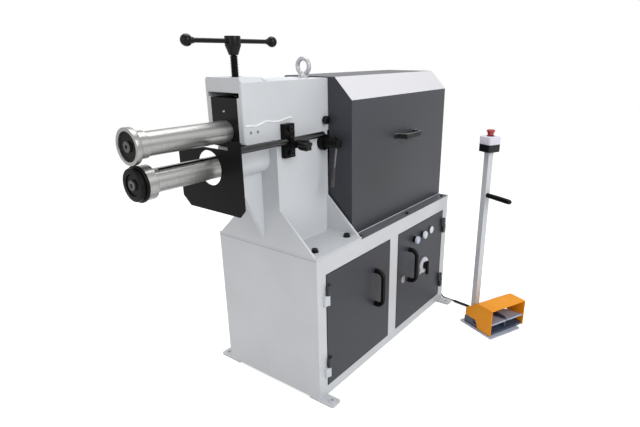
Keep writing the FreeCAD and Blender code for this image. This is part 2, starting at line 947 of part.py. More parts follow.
def rear_hanger():
    """The lower shaft's rear bearing block, hung under the arm inside the hood."""
    width = arm_half_width
    inner = width - arm_wall
    low = lower_z - hanger_drop
    corner = low + hanger_slope_height
    saddle = lower_z + bush_radius + hanger_wall
    foot_half = hanger_half_foot
    outline = [
        (-width, corner), (-foot_half, low), (foot_half, low), (width, corner), (width, arm_bottom),
        (inner, arm_bottom), (inner, saddle), (-inner, saddle), (-inner, arm_bottom), (-width, arm_bottom),
    ]
    body = side_prism(outline, (hanger_front, hanger_rear))
    return body.cut(rod((hanger_front, 0, lower_z), X, bush_radius, hanger_rear - hanger_front))


def bush(x, z):
    return ring((x[0], 0, z), X, bush_radius, shaft_radius + shaft_clearance, x[1] - x[0])


def bronze_bushes():
    """The spindle's nut and the lower shaft's two bushes."""
    nut_length = boss_top - roof_bottom
    nut = ring((spindle_x, 0, roof_bottom), Z, nut_radius, spindle_radius + shaft_clearance, nut_length)
    front_bush = bush((housing_front, left_plate_x - lower_bush_setback), lower_z)
    return [nut, front_bush, bush((hanger_front, hanger_rear), lower_z)]


def eye_bolt():
    """A lifting eye of the M24 size, standing across the arm."""
    middle = (eye_outer + eye_inner) / 2
    loop = Part.makeTorus(middle, (eye_outer - eye_inner) / 2, FreeCAD.Vector(eye_x, 0, eye_centre), X)
    collar = rod((eye_x, 0, arm_top), Z, eye_collar_radius, eye_collar_height)
    neck_place = (eye_x, 0, arm_top + eye_collar_height)
    neck = cone(neck_place, Z, eye_neck_radius, eye_shank_radius, eye_neck_height)
    shank = rod((eye_x, 0, arm_top - eye_shank_length), Z, eye_shank_radius, eye_shank_length)
    hole = rod((eye_x - eye_inner, 0, eye_centre), X, eye_inner + 1, 2 * eye_inner)
    return fused(loop, fused(collar, neck).cut(hole), shank)


# shafts, gears and rollers


def involute_point(base, radius, turn):
    """The point of the tooth's flank at a radius, turned about the gear's centre."""
    roll = math.sqrt((radius / base) ** 2 - 1)
    angle = roll - math.atan(roll)
    return FreeCAD.Vector(0, radius * math.cos(turn - angle), radius * math.sin(turn - angle))


def gear(x, z, width, tooth_up):
    """A spur gear about an X axis; tooth_up puts a tooth, not a gap, at its top."""
    pitch = gear_centres / 2
    base = pitch * math.cos(pressure_angle)
    tip = pitch + gear_module
    root = pitch - gear_module - root_clearance
    pitch_roll = math.tan(pressure_angle) - pressure_angle
    half_tooth = math.pi / (2 * gear_teeth) - tooth_thinning / (2 * pitch) + pitch_roll
    radii = [base + (tip - base) * k / 4 for k in range(5)]
    step = 2 * math.pi / gear_teeth
    first = math.pi / 2 if tooth_up else math.pi / 2 + step / 2
    edges = []
    for k in range(gear_teeth):
        middle = first + k * step
        right = [involute_point(base, r, middle + half_tooth) for r in radii]
        left = [FreeCAD.Vector(0, p.y, p.z) for p in right]
        for n, p in enumerate(left):
            across = 2 * (math.atan2(p.z, p.y) - middle)
            turned = math.atan2(p.z, p.y) - across
            left[n] = FreeCAD.Vector(0, radii[n] * math.cos(turned), radii[n] * math.sin(turned))
        start = FreeCAD.Vector(0, root * left[0].y / base, root * left[0].z / base)
        end = FreeCAD.Vector(0, root * right[0].y / base, root * right[0].z / base)
        crown = FreeCAD.Vector(0, tip * math.cos(middle), tip * math.sin(middle))
        gap_angle = middle + step / 2
        floor = FreeCAD.Vector(0, root * math.cos(gap_angle), root * math.sin(gap_angle))
        ahead = math.atan2(left[0].z, left[0].y) + step
        following = FreeCAD.Vector(0, root * math.cos(ahead), root * math.sin(ahead))
        left_flank = Part.BSplineCurve()
        left_flank.interpolate(left)
        right_flank = Part.BSplineCurve()
        right_flank.interpolate(right[::-1])
        edges.append(Part.LineSegment(start, left[0]).toShape())
        edges.append(left_flank.toShape())
        edges.append(Part.Arc(left[-1], crown, right[-1]).toShape())
        edges.append(right_flank.toShape())
        edges.append(Part.LineSegment(right[0], end).toShape())
        edges.append(Part.Arc(end, floor, following).toShape())
    outline = Part.Wire(Part.__sortEdges__(edges))
    body = Part.Face(outline).extrude(X * width)
    body = body.cut(rod((0, 0, 0), X, gear_seat_radius, width))
    body.translate(FreeCAD.Vector(x, 0, z))
    return body


def upper_shaft():
    front = upper_shaft_front
    nose_start = roller_face + nose_setback
    seat_end = swing_x + upper_gear_width / 2 + gear_seat_spare
    body = rod((front, 0, upper_z), X, shaft_radius, gear_seat - front)
    seat = rod((gear_seat, 0, upper_z), X, gear_seat_radius, seat_end - gear_seat)
    nose = rod((nose_start, 0, upper_z), X, nose_radius, front - nose_start)
    return fused(body, seat, nose)


def lower_shaft():
    front = lower_shaft_front
    nose_start = roller_face + nose_setback
    seat_end = swing_x + lower_gear_width / 2 + gear_seat_spare
    body = rod((front, 0, lower_z), X, shaft_radius, gear_seat - front)
    seat = rod((gear_seat, 0, lower_z), X, gear_seat_radius, seat_end - gear_seat)
    tail = rod((swing_x, 0, lower_z), X, tail_radius, tail_end - swing_x)
    nose = rod((nose_start, 0, lower_z), X, nose_radius, front - nose_start)
    cutter = block(
        (keyway_start, keyway_end), (-keyway_width / 2, keyway_width / 2),
        (shaft_radius - keyway_depth, shaft_radius + keyway_depth),
    )
    cutter.rotate(FreeCAD.Vector(0, 0, 0), X, keyway_angle)
    cutter.translate(Z * lower_z)
    return fused(body, seat, tail, nose).cut(cutter)


def upper_roller():
    """A plain disc on a collar, with a recess in its face for the screw and its washer."""
    width = upper_disc_width + upper_collar_width
    disc = rod((roller_face, 0, upper_z), X, upper_disc_radius, upper_disc_width)
    disc = disc.makeFillet(2, [e for e in disc.Edges if len(e.Vertexes) == 1])
    collar = rod((roller_face + upper_disc_width, 0, upper_z), X, upper_collar_radius, upper_collar_width)
    recess = rod((roller_face, 0, upper_z), X, upper_recess_radius, upper_recess)
    bore = rod((roller_face, 0, upper_z), X, nose_radius, width)
    return fused(disc, collar).cut(recess).cut(bore)


def lower_roller():
    """The beading roll: two rims with a groove between them."""
    groove_start = roller_face + lower_front_width
    rim_start = groove_start + lower_groove_width
    front = rod((roller_face, 0, lower_z), X, lower_front_radius, lower_front_width)
    groove = rod((groove_start, 0, lower_z), X, lower_groove_radius, lower_groove_width)
    rim = rod((rim_start, 0, lower_z), X, lower_rim_radius, lower_rim_width)
    rim = rim.makeFillet(4, [e for e in rim.Edges if len(e.Vertexes) == 1])
    front = front.makeFillet(3, [e for e in front.Edges if len(e.Vertexes) == 1])
    bore = rod((roller_face, 0, lower_z), X, nose_radius, rim_start + lower_rim_width - roller_face)
    recess = rod((roller_face, 0, lower_z), X, lower_recess_radius, lower_recess)
    return fused(front, groove, rim).cut(bore).cut(recess)


def roller_ring():
    start = lower_shaft_front - roller_ring_width
    return ring((start, 0, lower_z), X, roller_ring_radius, nose_radius, roller_ring_width)


def roller_screw(z, washer_radius, recess):
    """A washer and a hexagon head at the bottom of the roller's recess."""
    seat = roller_face + recess
    washer_front = seat - washer_thickness
    washer = rod((washer_front, 0, z), X, washer_radius, washer_thickness)
    corners = []
    for k in range(6):
        angle = math.radians(60 * k)
        across = screw_head_radius * math.cos(angle)
        corners.append((washer_front - screw_head_height, across, z + screw_head_radius * math.sin(angle)))
    return fused(washer, prism(corners, X * screw_head_height))


def shift_collar():
    """The grooved collar that the eccentric pin pushes to and fro."""
    start = pin_x - collar_half_width
    body = rod((start, 0, lower_z), X, collar_radius, 2 * collar_half_width)
    groove = ring((pin_x - groove_half_width, 0, lower_z), X, collar_radius, groove_radius, 2 * groove_half_width)
    return body.cut(groove).cut(rod((start, 0, lower_z), X, shaft_radius, 2 * collar_half_width))


# upper shaft's swing


def front_bearing_block():
    """The block between the arm's guides, with a T-slot for the spindle's pad in its top."""
    half = guide_half_width - slide_clearance
    front = arm_front
    rear = block_rear
    body = block((front, rear), (-half, half), (block_bottom, block_top))
    body = body.cut(rod((front, 0, upper_z), X, shaft_radius + block_lip_clearance, block_lip))
    body = body.cut(rod((front + block_lip, 0, upper_z), X, bush_radius, rear - front - block_lip))
    low = pad_bottom - pad_clearance
    high = pad_bottom + pad_thickness + pad_clearance
    wide = pad_radius + pad_side_clearance
    narrow = pad_neck + pad_side_clearance
    slot = block((spindle_x - pad_radius - pad_play, rear), (-wide, wide), (low, high))
    neck = block((spindle_x - pad_neck - pad_play, rear), (-narrow, narrow), (high, block_top))
    nipple = rod((front - nipple_length, 0, upper_z + nipple_rise), X, nipple_radius, nipple_length)
    return fused(body.cut(slot).cut(neck), nipple)


def swing_yoke():
    """The beam over the upper shaft, its rear bearing housing, and the fork with two trunnions."""
    thickness, flange_half, below, above = yoke_flange
    flange_z = (yoke_bottom - below, yoke_top + above)
    flange = block((block_rear, block_rear + thickness), (-flange_half, flange_half), flange_z)
    beam = block((block_rear, rear_housing_front), (-yoke_half_width, yoke_half_width), (yoke_bottom, yoke_top))
    half = rear_housing_half_width
    span = (rear_housing_front, rear_housing_rear)
    housing = block(span, (-half, half), (upper_z - rear_housing_drop, yoke_top))
    housing = housing.cut(rod((rear_housing_front, 0, upper_z), X, bush_radius, rear_housing_rear - rear_housing_front))
    arm_z = (upper_z - fork_half_height, upper_z + fork_half_height)
    reach = arm_half_width - trunnion_setback
    arms = []
    for side in (-1, 1):
        across = sorted((side * fork_inner, side * half))
        arms.append(block((rear_housing_rear, swing_x + fork_reach), across, arm_z))
        pin_y = min(side * half, side * reach)
        arms.append(rod((swing_x, pin_y, upper_z), Y, trunnion_radius, reach - half))
    return fused(flange, beam, housing, *arms)


def upper_bushes():
    front_bush = bush((arm_front + block_lip, block_rear), upper_z)
    return [front_bush, bush((rear_housing_front, rear_housing_rear), upper_z)]


def thrust_pad():
    disc = rod((spindle_x, 0, pad_bottom), Z, pad_radius, pad_thickness)
    neck = rod((spindle_x, 0, pad_bottom), Z, pad_neck, neck_top - pad_bottom)
    seat = pad_bottom + journal_seat
    bore = rod((spindle_x, 0, seat), Z, spindle_journal + shaft_clearance, neck_top - seat)
    return fused(disc, neck).cut(bore)


def spindle():
    """The screw, drawn at its outer diameter, with a journal below and a spigot above."""
    journal_end = pad_bottom + journal_seat + 1
    screw_part = rod((spindle_x, 0, neck_top), Z, spindle_radius, hub_bottom - neck_top)
    journal = rod((spindle_x, 0, journal_end), Z, spindle_journal, neck_top - journal_end)
    spigot = rod((spindle_x, 0, hub_bottom), Z, spigot_radius, spigot_length)
    return fused(screw_part, journal, spigot)


def spindle_handle():
    """The tapered hub with a straight bar through it and a ball on each end."""
    head_bottom = hub_bottom + hub_cone_height
    taper = cone((spindle_x, 0, hub_bottom), Z, hub_cone_radii[0], hub_cone_radii[1], hub_cone_height)
    head = rod((spindle_x, 0, head_bottom), Z, hub_radius, hub_height)
    head = head.makeFillet(hub_rounding, [e for e in head.Edges if len(e.Vertexes) == 1])
    bar = rod((spindle_x - ball_offset, 0, bar_z), X, bar_radius, 2 * ball_offset)
    balls = [
        Part.makeSphere(ball_radius, FreeCAD.Vector(spindle_x + side * ball_offset, 0, bar_z))
        for side in (-1, 1)
    ]
    hole = rod((spindle_x, 0, hub_bottom), Z, spigot_radius, spigot_length)
    return fused(taper, head, bar, *balls).cut(hole)


# axial adjustment


def lever_points():
    """The lever's start, the start of its grip, and its end."""
    lean = math.radians(lever_lean)
    points = []
    for along in (lever_socket, lever_length - lever_grip, lever_length):
        points.append((axial_x - along * math.sin(lean), lever_y, axial_z - along * math.cos(lean)))
    return points


def axial_lever():
    start, grip, end = [vector(point) for point in lever_points()]
    axis = (end - start).normalize()
    stem = Part.makeCylinder(lever_radius, (grip - start).Length, start, axis)
    handle = Part.makeCone(grip_radii[0], grip_radii[1], (end - grip).Length, grip, axis)
    return fused(stem, handle)


def axial_hub():
    """The turning hub, its shaft through the column's wall, and the eccentric pin inside."""
    gap = slide_clearance
    shaft_end = disc_front + axial_shaft_length
    disc = rod((axial_x, disc_front, axial_z), Y, axial_disc_radius, axial_disc_depth - gap)
    hub = rod((axial_x, hub_front, axial_z), Y, axial_hub_radius, axial_hub_depth)
    shaft = rod((axial_x, disc_front, axial_z), Y, axial_shaft_radius, axial_shaft_length)
    pin = rod((pin_x, shaft_end, pin_z), Y, eccentric_pin_radius, eccentric_pin_length)
    bore = rod((axial_x, plunger_y, axial_z), Z, plunger_stem_radius + shaft_clearance, axial_hub_radius + 2)
    return fused(disc, hub, shaft, pin).cut(axial_lever()).cut(bore)


def lock_plunger():
    """The pull knob on the hub, with its stem in the hub."""
    knob_bottom = axial_z + axial_hub_radius + plunger_rise
    stem_bottom = axial_z + plunger_socket
    stem = rod((axial_x, plunger_y, stem_bottom), Z, plunger_stem_radius, knob_bottom - stem_bottom)
    knob = rod((axial_x, plunger_y, knob_bottom), Z, plunger_knob_radius, plunger_knob_height)
    return fused(stem, knob.makeFillet(plunger_rounding, [e for e in knob.Edges if len(e.Vertexes) == 1]))


def lock_knob():
    """A round knob on a neck, with its stem through the arm's wall."""
    back = arm_side - lock_knob_neck_length
    front = back - lock_knob_depth
    stem_length = lock_knob_neck_length + arm_wall + lock_knob_stem_reach
    knob = rod((lock_knob_x, front, lock_knob_z), Y, lock_knob_radius, lock_knob_depth)
    knob = knob.makeFillet(lock_knob_rounding, [e for e in knob.Edges if len(e.Vertexes) == 1])
    neck = rod((lock_knob_x, back, lock_knob_z), Y, lock_knob_neck_radius, lock_knob_neck_length - slide_clearance)
    stem = rod((lock_knob_x, back, lock_knob_z), Y, lock_knob_stem_radius, stem_length)
    return fused(knob, neck, stem)


# depth gauge


def gauge_plate():
    """The stop plate, notched to pass under the arm and bored to pass the lower shaft."""
    x = gauge_x - gauge_thickness / 2
    half = gauge_half_width
    low = gauge_bottom
    notch = gauge_top - gauge_notch_drop
    shoulder = gauge_shoulder_y
    far_width, far_height = gauge_far_clip
    near_width, near_height = gauge_near_clip

    def at(y, z):
        return FreeCAD.Vector(x, y, z)

    slope = [at(y, notch - drop) for y, drop in gauge_slope] + [at(half, notch - gauge_far_drop)]
    edge = Part.BSplineCurve()
    edge.interpolate(slope)
    corners = [
        slope[-1], at(half, low + far_height), at(half - far_width, low), at(near_width - half, low),
        at(-half, low + near_height), at(-half, gauge_top), at(shoulder, gauge_top), at(shoulder, notch), slope[0],
    ]
    edges = [edge.toShape()] + [Part.LineSegment(a, b).toShape() for a, b in zip(corners, corners[1:])]
    plate = Part.Face(Part.Wire(Part.__sortEdges__(edges))).extrude(X * gauge_thickness)
    return plate.cut(rod((x, 0, lower_z + gauge_hole_rise), X, gauge_hole_radius, gauge_thickness))


def gauge_rod():
    start = gauge_x + gauge_thickness / 2
    bar = rod((start, gauge_rod_y, gauge_rod_z), X, gauge_rod_radius, gauge_rod_end - start)
    end = [e for e in bar.Edges if len(e.Vertexes) == 1 and e.CenterOfMass.x > gauge_rod_end - 1]
    return bar.makeFillet(gauge_rod_rounding, end)


def clamp_block():
    """The block bolted to the column: a ring round the rod, and a split cheek for the pinch screw."""
    span = (clamp_left, clamp_right)
    length = clamp_right - clamp_left
    back = block(span, (clamp_front, arm_side), (clamp_bottom, clamp_top))
    foot_z = star_knob_z - clamp_foot
    ring_x = (clamp_left, clamp_left + clamp_ring_length)
    boss = block(ring_x, (clamp_boss_front, clamp_front), (foot_z, gauge_rod_z + clamp_ring_rise))
    boss = rounded(boss, clamp_ring_rounding, lambda p: p.y < clamp_boss_front + 1 and p.z > gauge_rod_z)
    cheek = block(span, (clamp_boss_front, clamp_front), (foot_z, gauge_rod_z - clamp_cheek_drop))
    body = fused(back, boss, cheek)
    bore = rod((clamp_left, gauge_rod_y, gauge_rod_z), X, gauge_rod_radius + shaft_clearance, length)
    half = clamp_slit / 2
    slit = block(span, (gauge_rod_y - half, gauge_rod_y + half), (foot_z, gauge_rod_z))
    hole = rod((star_knob_x, clamp_boss_front, star_knob_z), Y, knob_screw_radius + shaft_clearance, knob_screw_length)
    return body.cut(bore).cut(slit).cut(hole)


def clamp_screws():
    x = (clamp_left + clamp_right) / 2
    inset = clamp_screw_inset
    return [
        screw((x, clamp_front, z), -Y, clamp_head_radius, clamp_head_height, clamp_socket_radius)
        for z in (clamp_bottom + inset, clamp_top - inset)
    ]


def star_knob():
    """Five lobes on a steel neck, tapering from the front, on the pinch screw."""
    neck_front = clamp_boss_front - knob_neck_length
    front = neck_front - knob_length
    first, last = knob_core_radii
    body = cone((star_knob_x, front, star_knob_z), Y, first, last, knob_length)
    lobes = []
    for k in range(knob_lobes):
        angle = 2 * math.pi * k / knob_lobes + math.pi / 2
        x = star_knob_x + knob_lobe_circle * math.cos(angle)
        z = star_knob_z + knob_lobe_circle * math.sin(angle)
        lobes.append(cone((x, front, z), Y, knob_lobe_radii[0], knob_lobe_radii[1], knob_length))
    neck = rod((star_knob_x, neck_front, star_knob_z), Y, knob_neck_radius, knob_neck_length - slide_clearance)
    screw_length = knob_neck_length + knob_screw_length
    stem = rod((star_knob_x, neck_front, star_knob_z), Y, knob_screw_radius, screw_length)
    return fused(body, *lobes, neck, stem)


# hood and drive


def hood_outline(inset):
    """The hood's section, drawn in by an inset; slant keeps the sloping sheets' thickness."""
    side = hood_half_depth - inset
    slope = math.atan2(hood_top - hood_shoulder, hood_half_depth - hood_roof_half)
    slant = inset * math.tan(math.pi / 4 - slope / 4)
    roof_half = hood_roof_half - inset * math.tan(slope / 2)
    shoulder = hood_shoulder - slant
    roof = hood_top - inset
    return [
        (-side, cabinet_top), (-side, shoulder), (-roof_half, roof), (roof_half, roof), (side, shoulder),
        (side, cabinet_top),
    ]


def hood():
    wall = hood_left + hood_wall_inset
    outer = side_prism(hood_outline(0), (wall, hood_right))
    inner = side_prism(hood_outline(hood_sheet), (wall + hood_sheet, hood_right - hood_sheet))
    half = arm_half_width + hood_cutout
    mouth = block((wall, wall + hood_sheet), (-half, half), (lower_z - hood_mouth_drop, hood_top - hood_sheet))
    flanges = []
    for side in (-1, 1):
        across = sorted((side * (hood_half_depth - hood_sheet), side * cabinet_half_depth))
        flanges.append(block((hood_left, hood_right), across, (cabinet_top, cabinet_top + sheet)))
    return fused(outer.cut(inner).cut(mouth), *flanges)


def hood_bolts():
    seat = cabinet_top + sheet
    return [
        screw((x, side * hood_bolt_y, seat), Z, hood_head_radius, hood_head_height, hood_socket_radius)
        for x in hood_bolt_xs for side in (-1, 1)
    ]


def hood_handle():
    """A bent strap, bolted flat to the front of the hood."""
    t = strap_thickness
    left = strap_left
    right = strap_left + strap_length
    foot_end = strap_foot
    bend = strap_foot + strap_bend
    y = -hood_half_depth
    tip = y - strap_reach
    outline = [
        (left, y), (left, y - t), (left + foot_end, y - t), (left + bend, tip), (right - bend, tip),
        (right - foot_end, y - t), (right, y - t), (right, y), (right - foot_end - t, y), (right - bend - t, tip + t),
        (left + bend + t, tip + t), (left + foot_end + t, y),
    ]
    return prism([(x, across, strap_bottom) for x, across in outline], Z * strap_height)


def gear_motor():
    """A right-angle gearbox on the lower shaft's tail, with its motor standing below it."""
    half = gearbox_half_width
    box = block((gearbox_front, gearbox_rear), (-half, half), (gearbox_bottom, gearbox_top))
    box = rounded(box, gearbox_rounding, lambda p: True)
    middle = (gearbox_front + gearbox_rear) / 2
    body = rod((middle, 0, motor_bottom), Z, motor_radius, gearbox_bottom - motor_bottom)
    near = motor_radius - terminal_overlap
    low = motor_bottom + terminal_rise
    reach = terminal_half_length
    terminal = block((middle - reach, middle + reach), (near, near + terminal_depth), (low, low + terminal_height))
    bore = rod((gearbox_front, 0, lower_z), X, sleeve_radius + shaft_clearance, gearbox_rear - gearbox_front)
    return fused(box, body, terminal).cut(bore)


def output_sleeve():
    """The gearbox's hollow output shaft, in which the lower shaft's tail can slide."""
    start = gearbox_front - sleeve_overhang
    length = gearbox_rear + sleeve_overhang - start
    return ring((start, 0, lower_z), X, sleeve_radius, tail_radius + shaft_clearance, length)


def motor_stand():
    half = gearbox_half_width
    span = (cabinet_top, gearbox_bottom)
    left = block((gearbox_front, gearbox_front + plate_thickness), (-half, half), span)
    right = block((gearbox_rear - plate_thickness, gearbox_rear), (-half, half), span)
    base = block((gearbox_front, gearbox_rear), (-half, half), (cabinet_top, cabinet_top + plate_thickness))
    return fused(left, right, base)


# foot-switch pedestal


def placed(shape):
    """Turn and move a shape from the pedestal's axes to the machine's."""
    shape.rotate(FreeCAD.Vector(0, 0, 0), Z, pedestal_turn)
    shape.translate(FreeCAD.Vector(pedestal_place[0], pedestal_place[1], 0))
    return shape


def post_space(z):
    return block((post_u - post_half, post_u + post_half), (post_v - post_half, post_v + post_half), z)


def pedestal_base():
    u, v = pedestal_base_half
    plate = block((-u, u), (-v, v), (0, pedestal_base_thickness))
    return placed(upright_corners(plate, 6))


def guard_outline(inset):
    front = guard_front
    top = guard_top - inset
    back = guard_back - inset
    return [
        (front, guard_bottom), (front, top), (-inset * 0.3, top), (back, guard_back_top - inset * 0.9),
        (back, guard_back_bottom), (guard_step, guard_back_bottom), (-guard_step, guard_bottom),
    ]


def pedal_guard():
    outer = side_prism(guard_outline(0), (guard_left, guard_right))
    inner = side_prism(guard_outline(guard_sheet), (guard_left + guard_sheet, guard_right - guard_sheet))
    return placed(outer.cut(inner).cut(post_space((0, post_top))))


def pedal_body():
    """The switch housing on the base plate, low in front and as high as the guard's edge behind."""
    left = guard_left + guard_sheet
    right = guard_right - guard_sheet
    toe = guard_front + housing_toe_setback
    back = guard_back + housing_back_reach
    step = housing_step_v
    deck = housing_deck_z
    outline = [
        (toe, pedestal_base_thickness), (toe - housing_toe_lip, housing_toe_top), (step, housing_floor_z), (step, deck),
        (guard_back - housing_deck_inset, deck), (back, housing_back_top), (back, pedestal_base_thickness),
    ]
    body = side_prism(outline, (left, right))
    divider_u = (left + right) / 2
    wall_front = guard_front + divider_setback
    wall_outline = [
        (wall_front, housing_toe_top), (wall_front, divider_top), (0, divider_top), (step, deck), (step, divider_foot_z),
    ]
    wall = side_prism(wall_outline, (divider_u - divider_half, divider_u + divider_half))
    axle = rod((left, pedal_axis_v, pedal_axis_z), X, pedal_axle_radius, right - left)
    return placed(fused(body, wall, axle).cut(post_space((0, post_top))))


def pedal(side):
    """A ribbed treadle that rocks about its back edge: side is -1 or 1."""
    middle = (guard_left + guard_right) / 2
    near = middle + side * pedal_gap / 2
    far = middle + side * (guard_right - middle - guard_sheet - pedal_side_clearance)
    tip = guard_front + pedal_tip_setback
    outline = [
        (tip, pedal_tip_top), (tip - pedal_lip, pedal_lip_z), (tip, pedal_tip_bottom), (0, pedal_knee_z),
        (pedal_axis_v, pedal_heel_bottom), (pedal_axis_v + pedal_heel_reach, pedal_heel_middle), (pedal_axis_v, pedal_heel_top),
    ]
    near, far = sorted((near, far))
    treadle = side_prism(outline, (near, far))
    boss = rod((near, pedal_axis_v, pedal_axis_z), X, pedal_boss_radius, far - near)
    bore = rod((near, pedal_axis_v, pedal_axis_z), X, pedal_axle_radius + shaft_clearance, far - near)
    return placed(fused(treadle, boss).cut(bore))


def pedestal_post():
    outer = post_space((pedestal_base_thickness, post_top))
    half = post_half - post_wall
    inner = block((post_u - half, post_u + half), (post_v - half, post_v + half), (pedestal_base_thickness, post_top))
    return placed(outer.cut(inner))


def stop_box():
    """A square box on the post, with a socket in its top for the button's stem."""
    half = stop_box_half
    box = block((post_u - half, post_u + half), (post_v - half, post_v + half), (post_top, post_top + stop_box_height))
    box = upright_corners(box, stop_box_rounding)
    socket_bottom = post_top + stop_box_height - stop_socket_depth
    bore = rod((post_u, post_v, socket_bottom), Z, stop_stem_radius + shaft_clearance, stop_socket_depth)
    return placed(box.cut(bore))


def stop_button():
    """The mushroom head on its stem."""
    stem_bottom = post_top + stop_box_height - stop_stem_reach
    stem = rod((post_u, post_v, stem_bottom), Z, stop_stem_radius, stop_stem_top - stem_bottom)
    head = rod((post_u, post_v, stop_stem_top), Z, stop_head_radius, stop_head_height)
    crown_z = stop_stem_top + stop_head_height
    top = [e for e in head.Edges if e.CenterOfMass.z > crown_z - 1 and len(e.Vertexes) == 1]
    return placed(fused(stem, head.makeFillet(stop_head_rounding, top)))


def post_grip():
    start = post_v - post_half - grip_length
    bar = rod((post_u, start, grip_z), Y, grip_radius, grip_length)
    front = [e for e in bar.Edges if e.CenterOfMass.y < start + 1 and len(e.Vertexes) == 1]
    return placed(bar.makeFillet(grip_rounding, front))


# foot-switch lead

# the lead leaves the gland, drops to the floor and goes round the cabinet's corner
cable_route = [
    (cabinet_half_length + gland_length, gland_y, gland_z), (737, gland_y, gland_z), (768, -188, 91),
    (781, -212, 57), (770, -246, 22), (742, -276, 6), (708, -302, 4.5), (687, -334, 4.5), (680, -374, 9),
    (672, -418, 9),
]

# the sleeve takes it on to the back of the switch housing
sleeve_route = [
    (672, -418, 9), (664, -462, 9), (660, -512, 9), (640, -556, 12), (611.2, -594.8, 20), (593.1, -636.0, 20),
]


def cord_tube(name, points, diameter):
    """Straight runs and tangent arcs along the route, swept as a round tube."""
    corners = [vector(point) for point in points]
    edges = []
    length = 0.0
    radii = []
    here = corners[0]
    for before, corner, after in zip(corners, corners[1:], corners[2:]):
        run_in = corner - before
        run_out = after - corner
        turn = run_in.getAngle(run_out)
        shorter = min(run_in.Length, run_out.Length)
        radius = 0.45 * shorter / math.tan(turn / 2)
        radii.append(round(radius))
        start = corner - run_in.normalize() * (0.45 * shorter)
        end = corner + run_out.normalize() * (0.45 * shorter)
        to_centre = (run_out - run_in).normalize()
        middle = corner + to_centre * (radius / math.cos(turn / 2) - radius)
        edges.append(Part.LineSegment(here, start).toShape())
        edges.append(Part.Arc(start, middle, end).toShape())
        length += (start - here).Length + radius * turn
        here = end
    edges.append(Part.LineSegment(here, corners[-1]).toShape())
    length += (corners[-1] - here).Length
    path = Part.Wire(edges)
    circle = Part.makeCircle(diameter / 2, corners[0], corners[1] - corners[0])
    tube = path.makePipeShell([Part.Wire(circle)], True, False)
    volume = math.pi * diameter ** 2 / 4 * length
    print(name, "length", round(length), "radii", radii, "volume ratio", round(tube.Volume / volume, 4))
    return tube


export("cabinet_shell", cabinet_shell())
export("control_panel", control_panel())
export(
    "cable_glands",
    gland((cabinet_half_length, gland_y, gland_z), X), gland((mains_gland_x, cabinet_half_depth, gland_z), Y),
)
export("hinge_bottoms", *frame_hinges(-1), *frame_hinges(1))
export("left_door", door_pan(-1))
export("left_door_handle", door_handle(left_handle_x))
export("right_door", right_door())
export("right_door_handle", door_handle(right_handle_x))
export("button_collars", *button_collars())
export("left_button", button(0))
export("middle_button", button(1))
export("right_button", button(2))
export("switch_plate", switch_plate())
export("switch_lever", switch_lever())
export("lock_housing", lock_housing())
export("key_lock", key_lock())

export("head_casting", head_casting())
export("flare_plates", flare_plate(left_plate_x), flare_plate(right_plate_x))
export("base_plate", base_plate_solid())
export("screws", levelling_ring(), *base_bolts(), *hood_bolts(), *clamp_screws())
export("lower_shaft_housing", lower_shaft_housing())
export("rear_hanger", rear_hanger())
export("bronze_bushes", *bronze_bushes())
export("eye_bolt", eye_bolt())

export("upper_shaft", upper_shaft(), roller_screw(upper_z, upper_washer_radius, upper_recess))
export("upper_gear", gear(swing_x - upper_gear_width / 2, upper_z, upper_gear_width, False))
export("upper_roller", upper_roller())
export(
    "lower_shaft",
    lower_shaft(), roller_ring(), roller_screw(lower_z, lower_washer_radius, lower_recess), shift_collar(),
)
export("lower_gear", gear(swing_x - lower_gear_width / 2, lower_z, lower_gear_width, False))
export("lower_roller", lower_roller())

export("front_bearing_block", front_bearing_block())
export("swing_yoke", swing_yoke())
export("upper_bushes", *upper_bushes())
export("thrust_pad", thrust_pad())
export("spindle", spindle())
export("spindle_handle", spindle_handle())

export("axial_hub", axial_hub())
export("axial_lever", axial_lever())
export("lock_plunger", lock_plunger())
export("lock_knob", lock_knob())

export("gauge_plate", gauge_plate())
export("gauge_rod", gauge_rod())
export("clamp_block", clamp_block())
export("star_knob", star_knob())

export("hood", hood())
export("hood_handle", hood_handle())
export("gear_motor", gear_motor())
export("output_sleeve", output_sleeve())
export("motor_stand", motor_stand())

export("pedestal_base", pedestal_base())
export("pedal_guard", pedal_guard())
export("pedal_body", pedal_body())
export("left_pedal", pedal(-1))
export("right_pedal", pedal(1))
export("pedestal_post", pedestal_post())
export("stop_box", stop_box())
export("stop_button", stop_button())
export("post_grip", post_grip())
export("pedal_cable", cord_tube("cable", cable_route, cable_diameter))
export("cable_sleeve", cord_tube("sleeve", sleeve_route, sleeve_diameter))
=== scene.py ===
import math

import bpy
import numpy as np
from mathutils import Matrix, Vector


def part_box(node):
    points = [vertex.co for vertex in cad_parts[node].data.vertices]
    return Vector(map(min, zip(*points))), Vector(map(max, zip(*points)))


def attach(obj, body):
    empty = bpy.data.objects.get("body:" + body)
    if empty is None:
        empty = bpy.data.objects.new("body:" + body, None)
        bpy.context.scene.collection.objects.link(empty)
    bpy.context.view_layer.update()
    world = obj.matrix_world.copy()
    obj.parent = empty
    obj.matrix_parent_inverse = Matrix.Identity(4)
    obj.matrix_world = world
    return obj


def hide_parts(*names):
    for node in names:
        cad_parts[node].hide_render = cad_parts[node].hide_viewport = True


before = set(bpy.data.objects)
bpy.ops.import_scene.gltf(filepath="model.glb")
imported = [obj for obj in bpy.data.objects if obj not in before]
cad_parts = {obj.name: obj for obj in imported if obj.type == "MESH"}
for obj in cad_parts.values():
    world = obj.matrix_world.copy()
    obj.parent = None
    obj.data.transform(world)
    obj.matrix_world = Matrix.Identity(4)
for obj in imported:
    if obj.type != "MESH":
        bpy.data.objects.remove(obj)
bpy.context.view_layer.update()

# Camera
# At eye height off the rollers' end, looking across the front of the cabinet. The lens is
# shifted a little, because the photograph is framed off its centre.


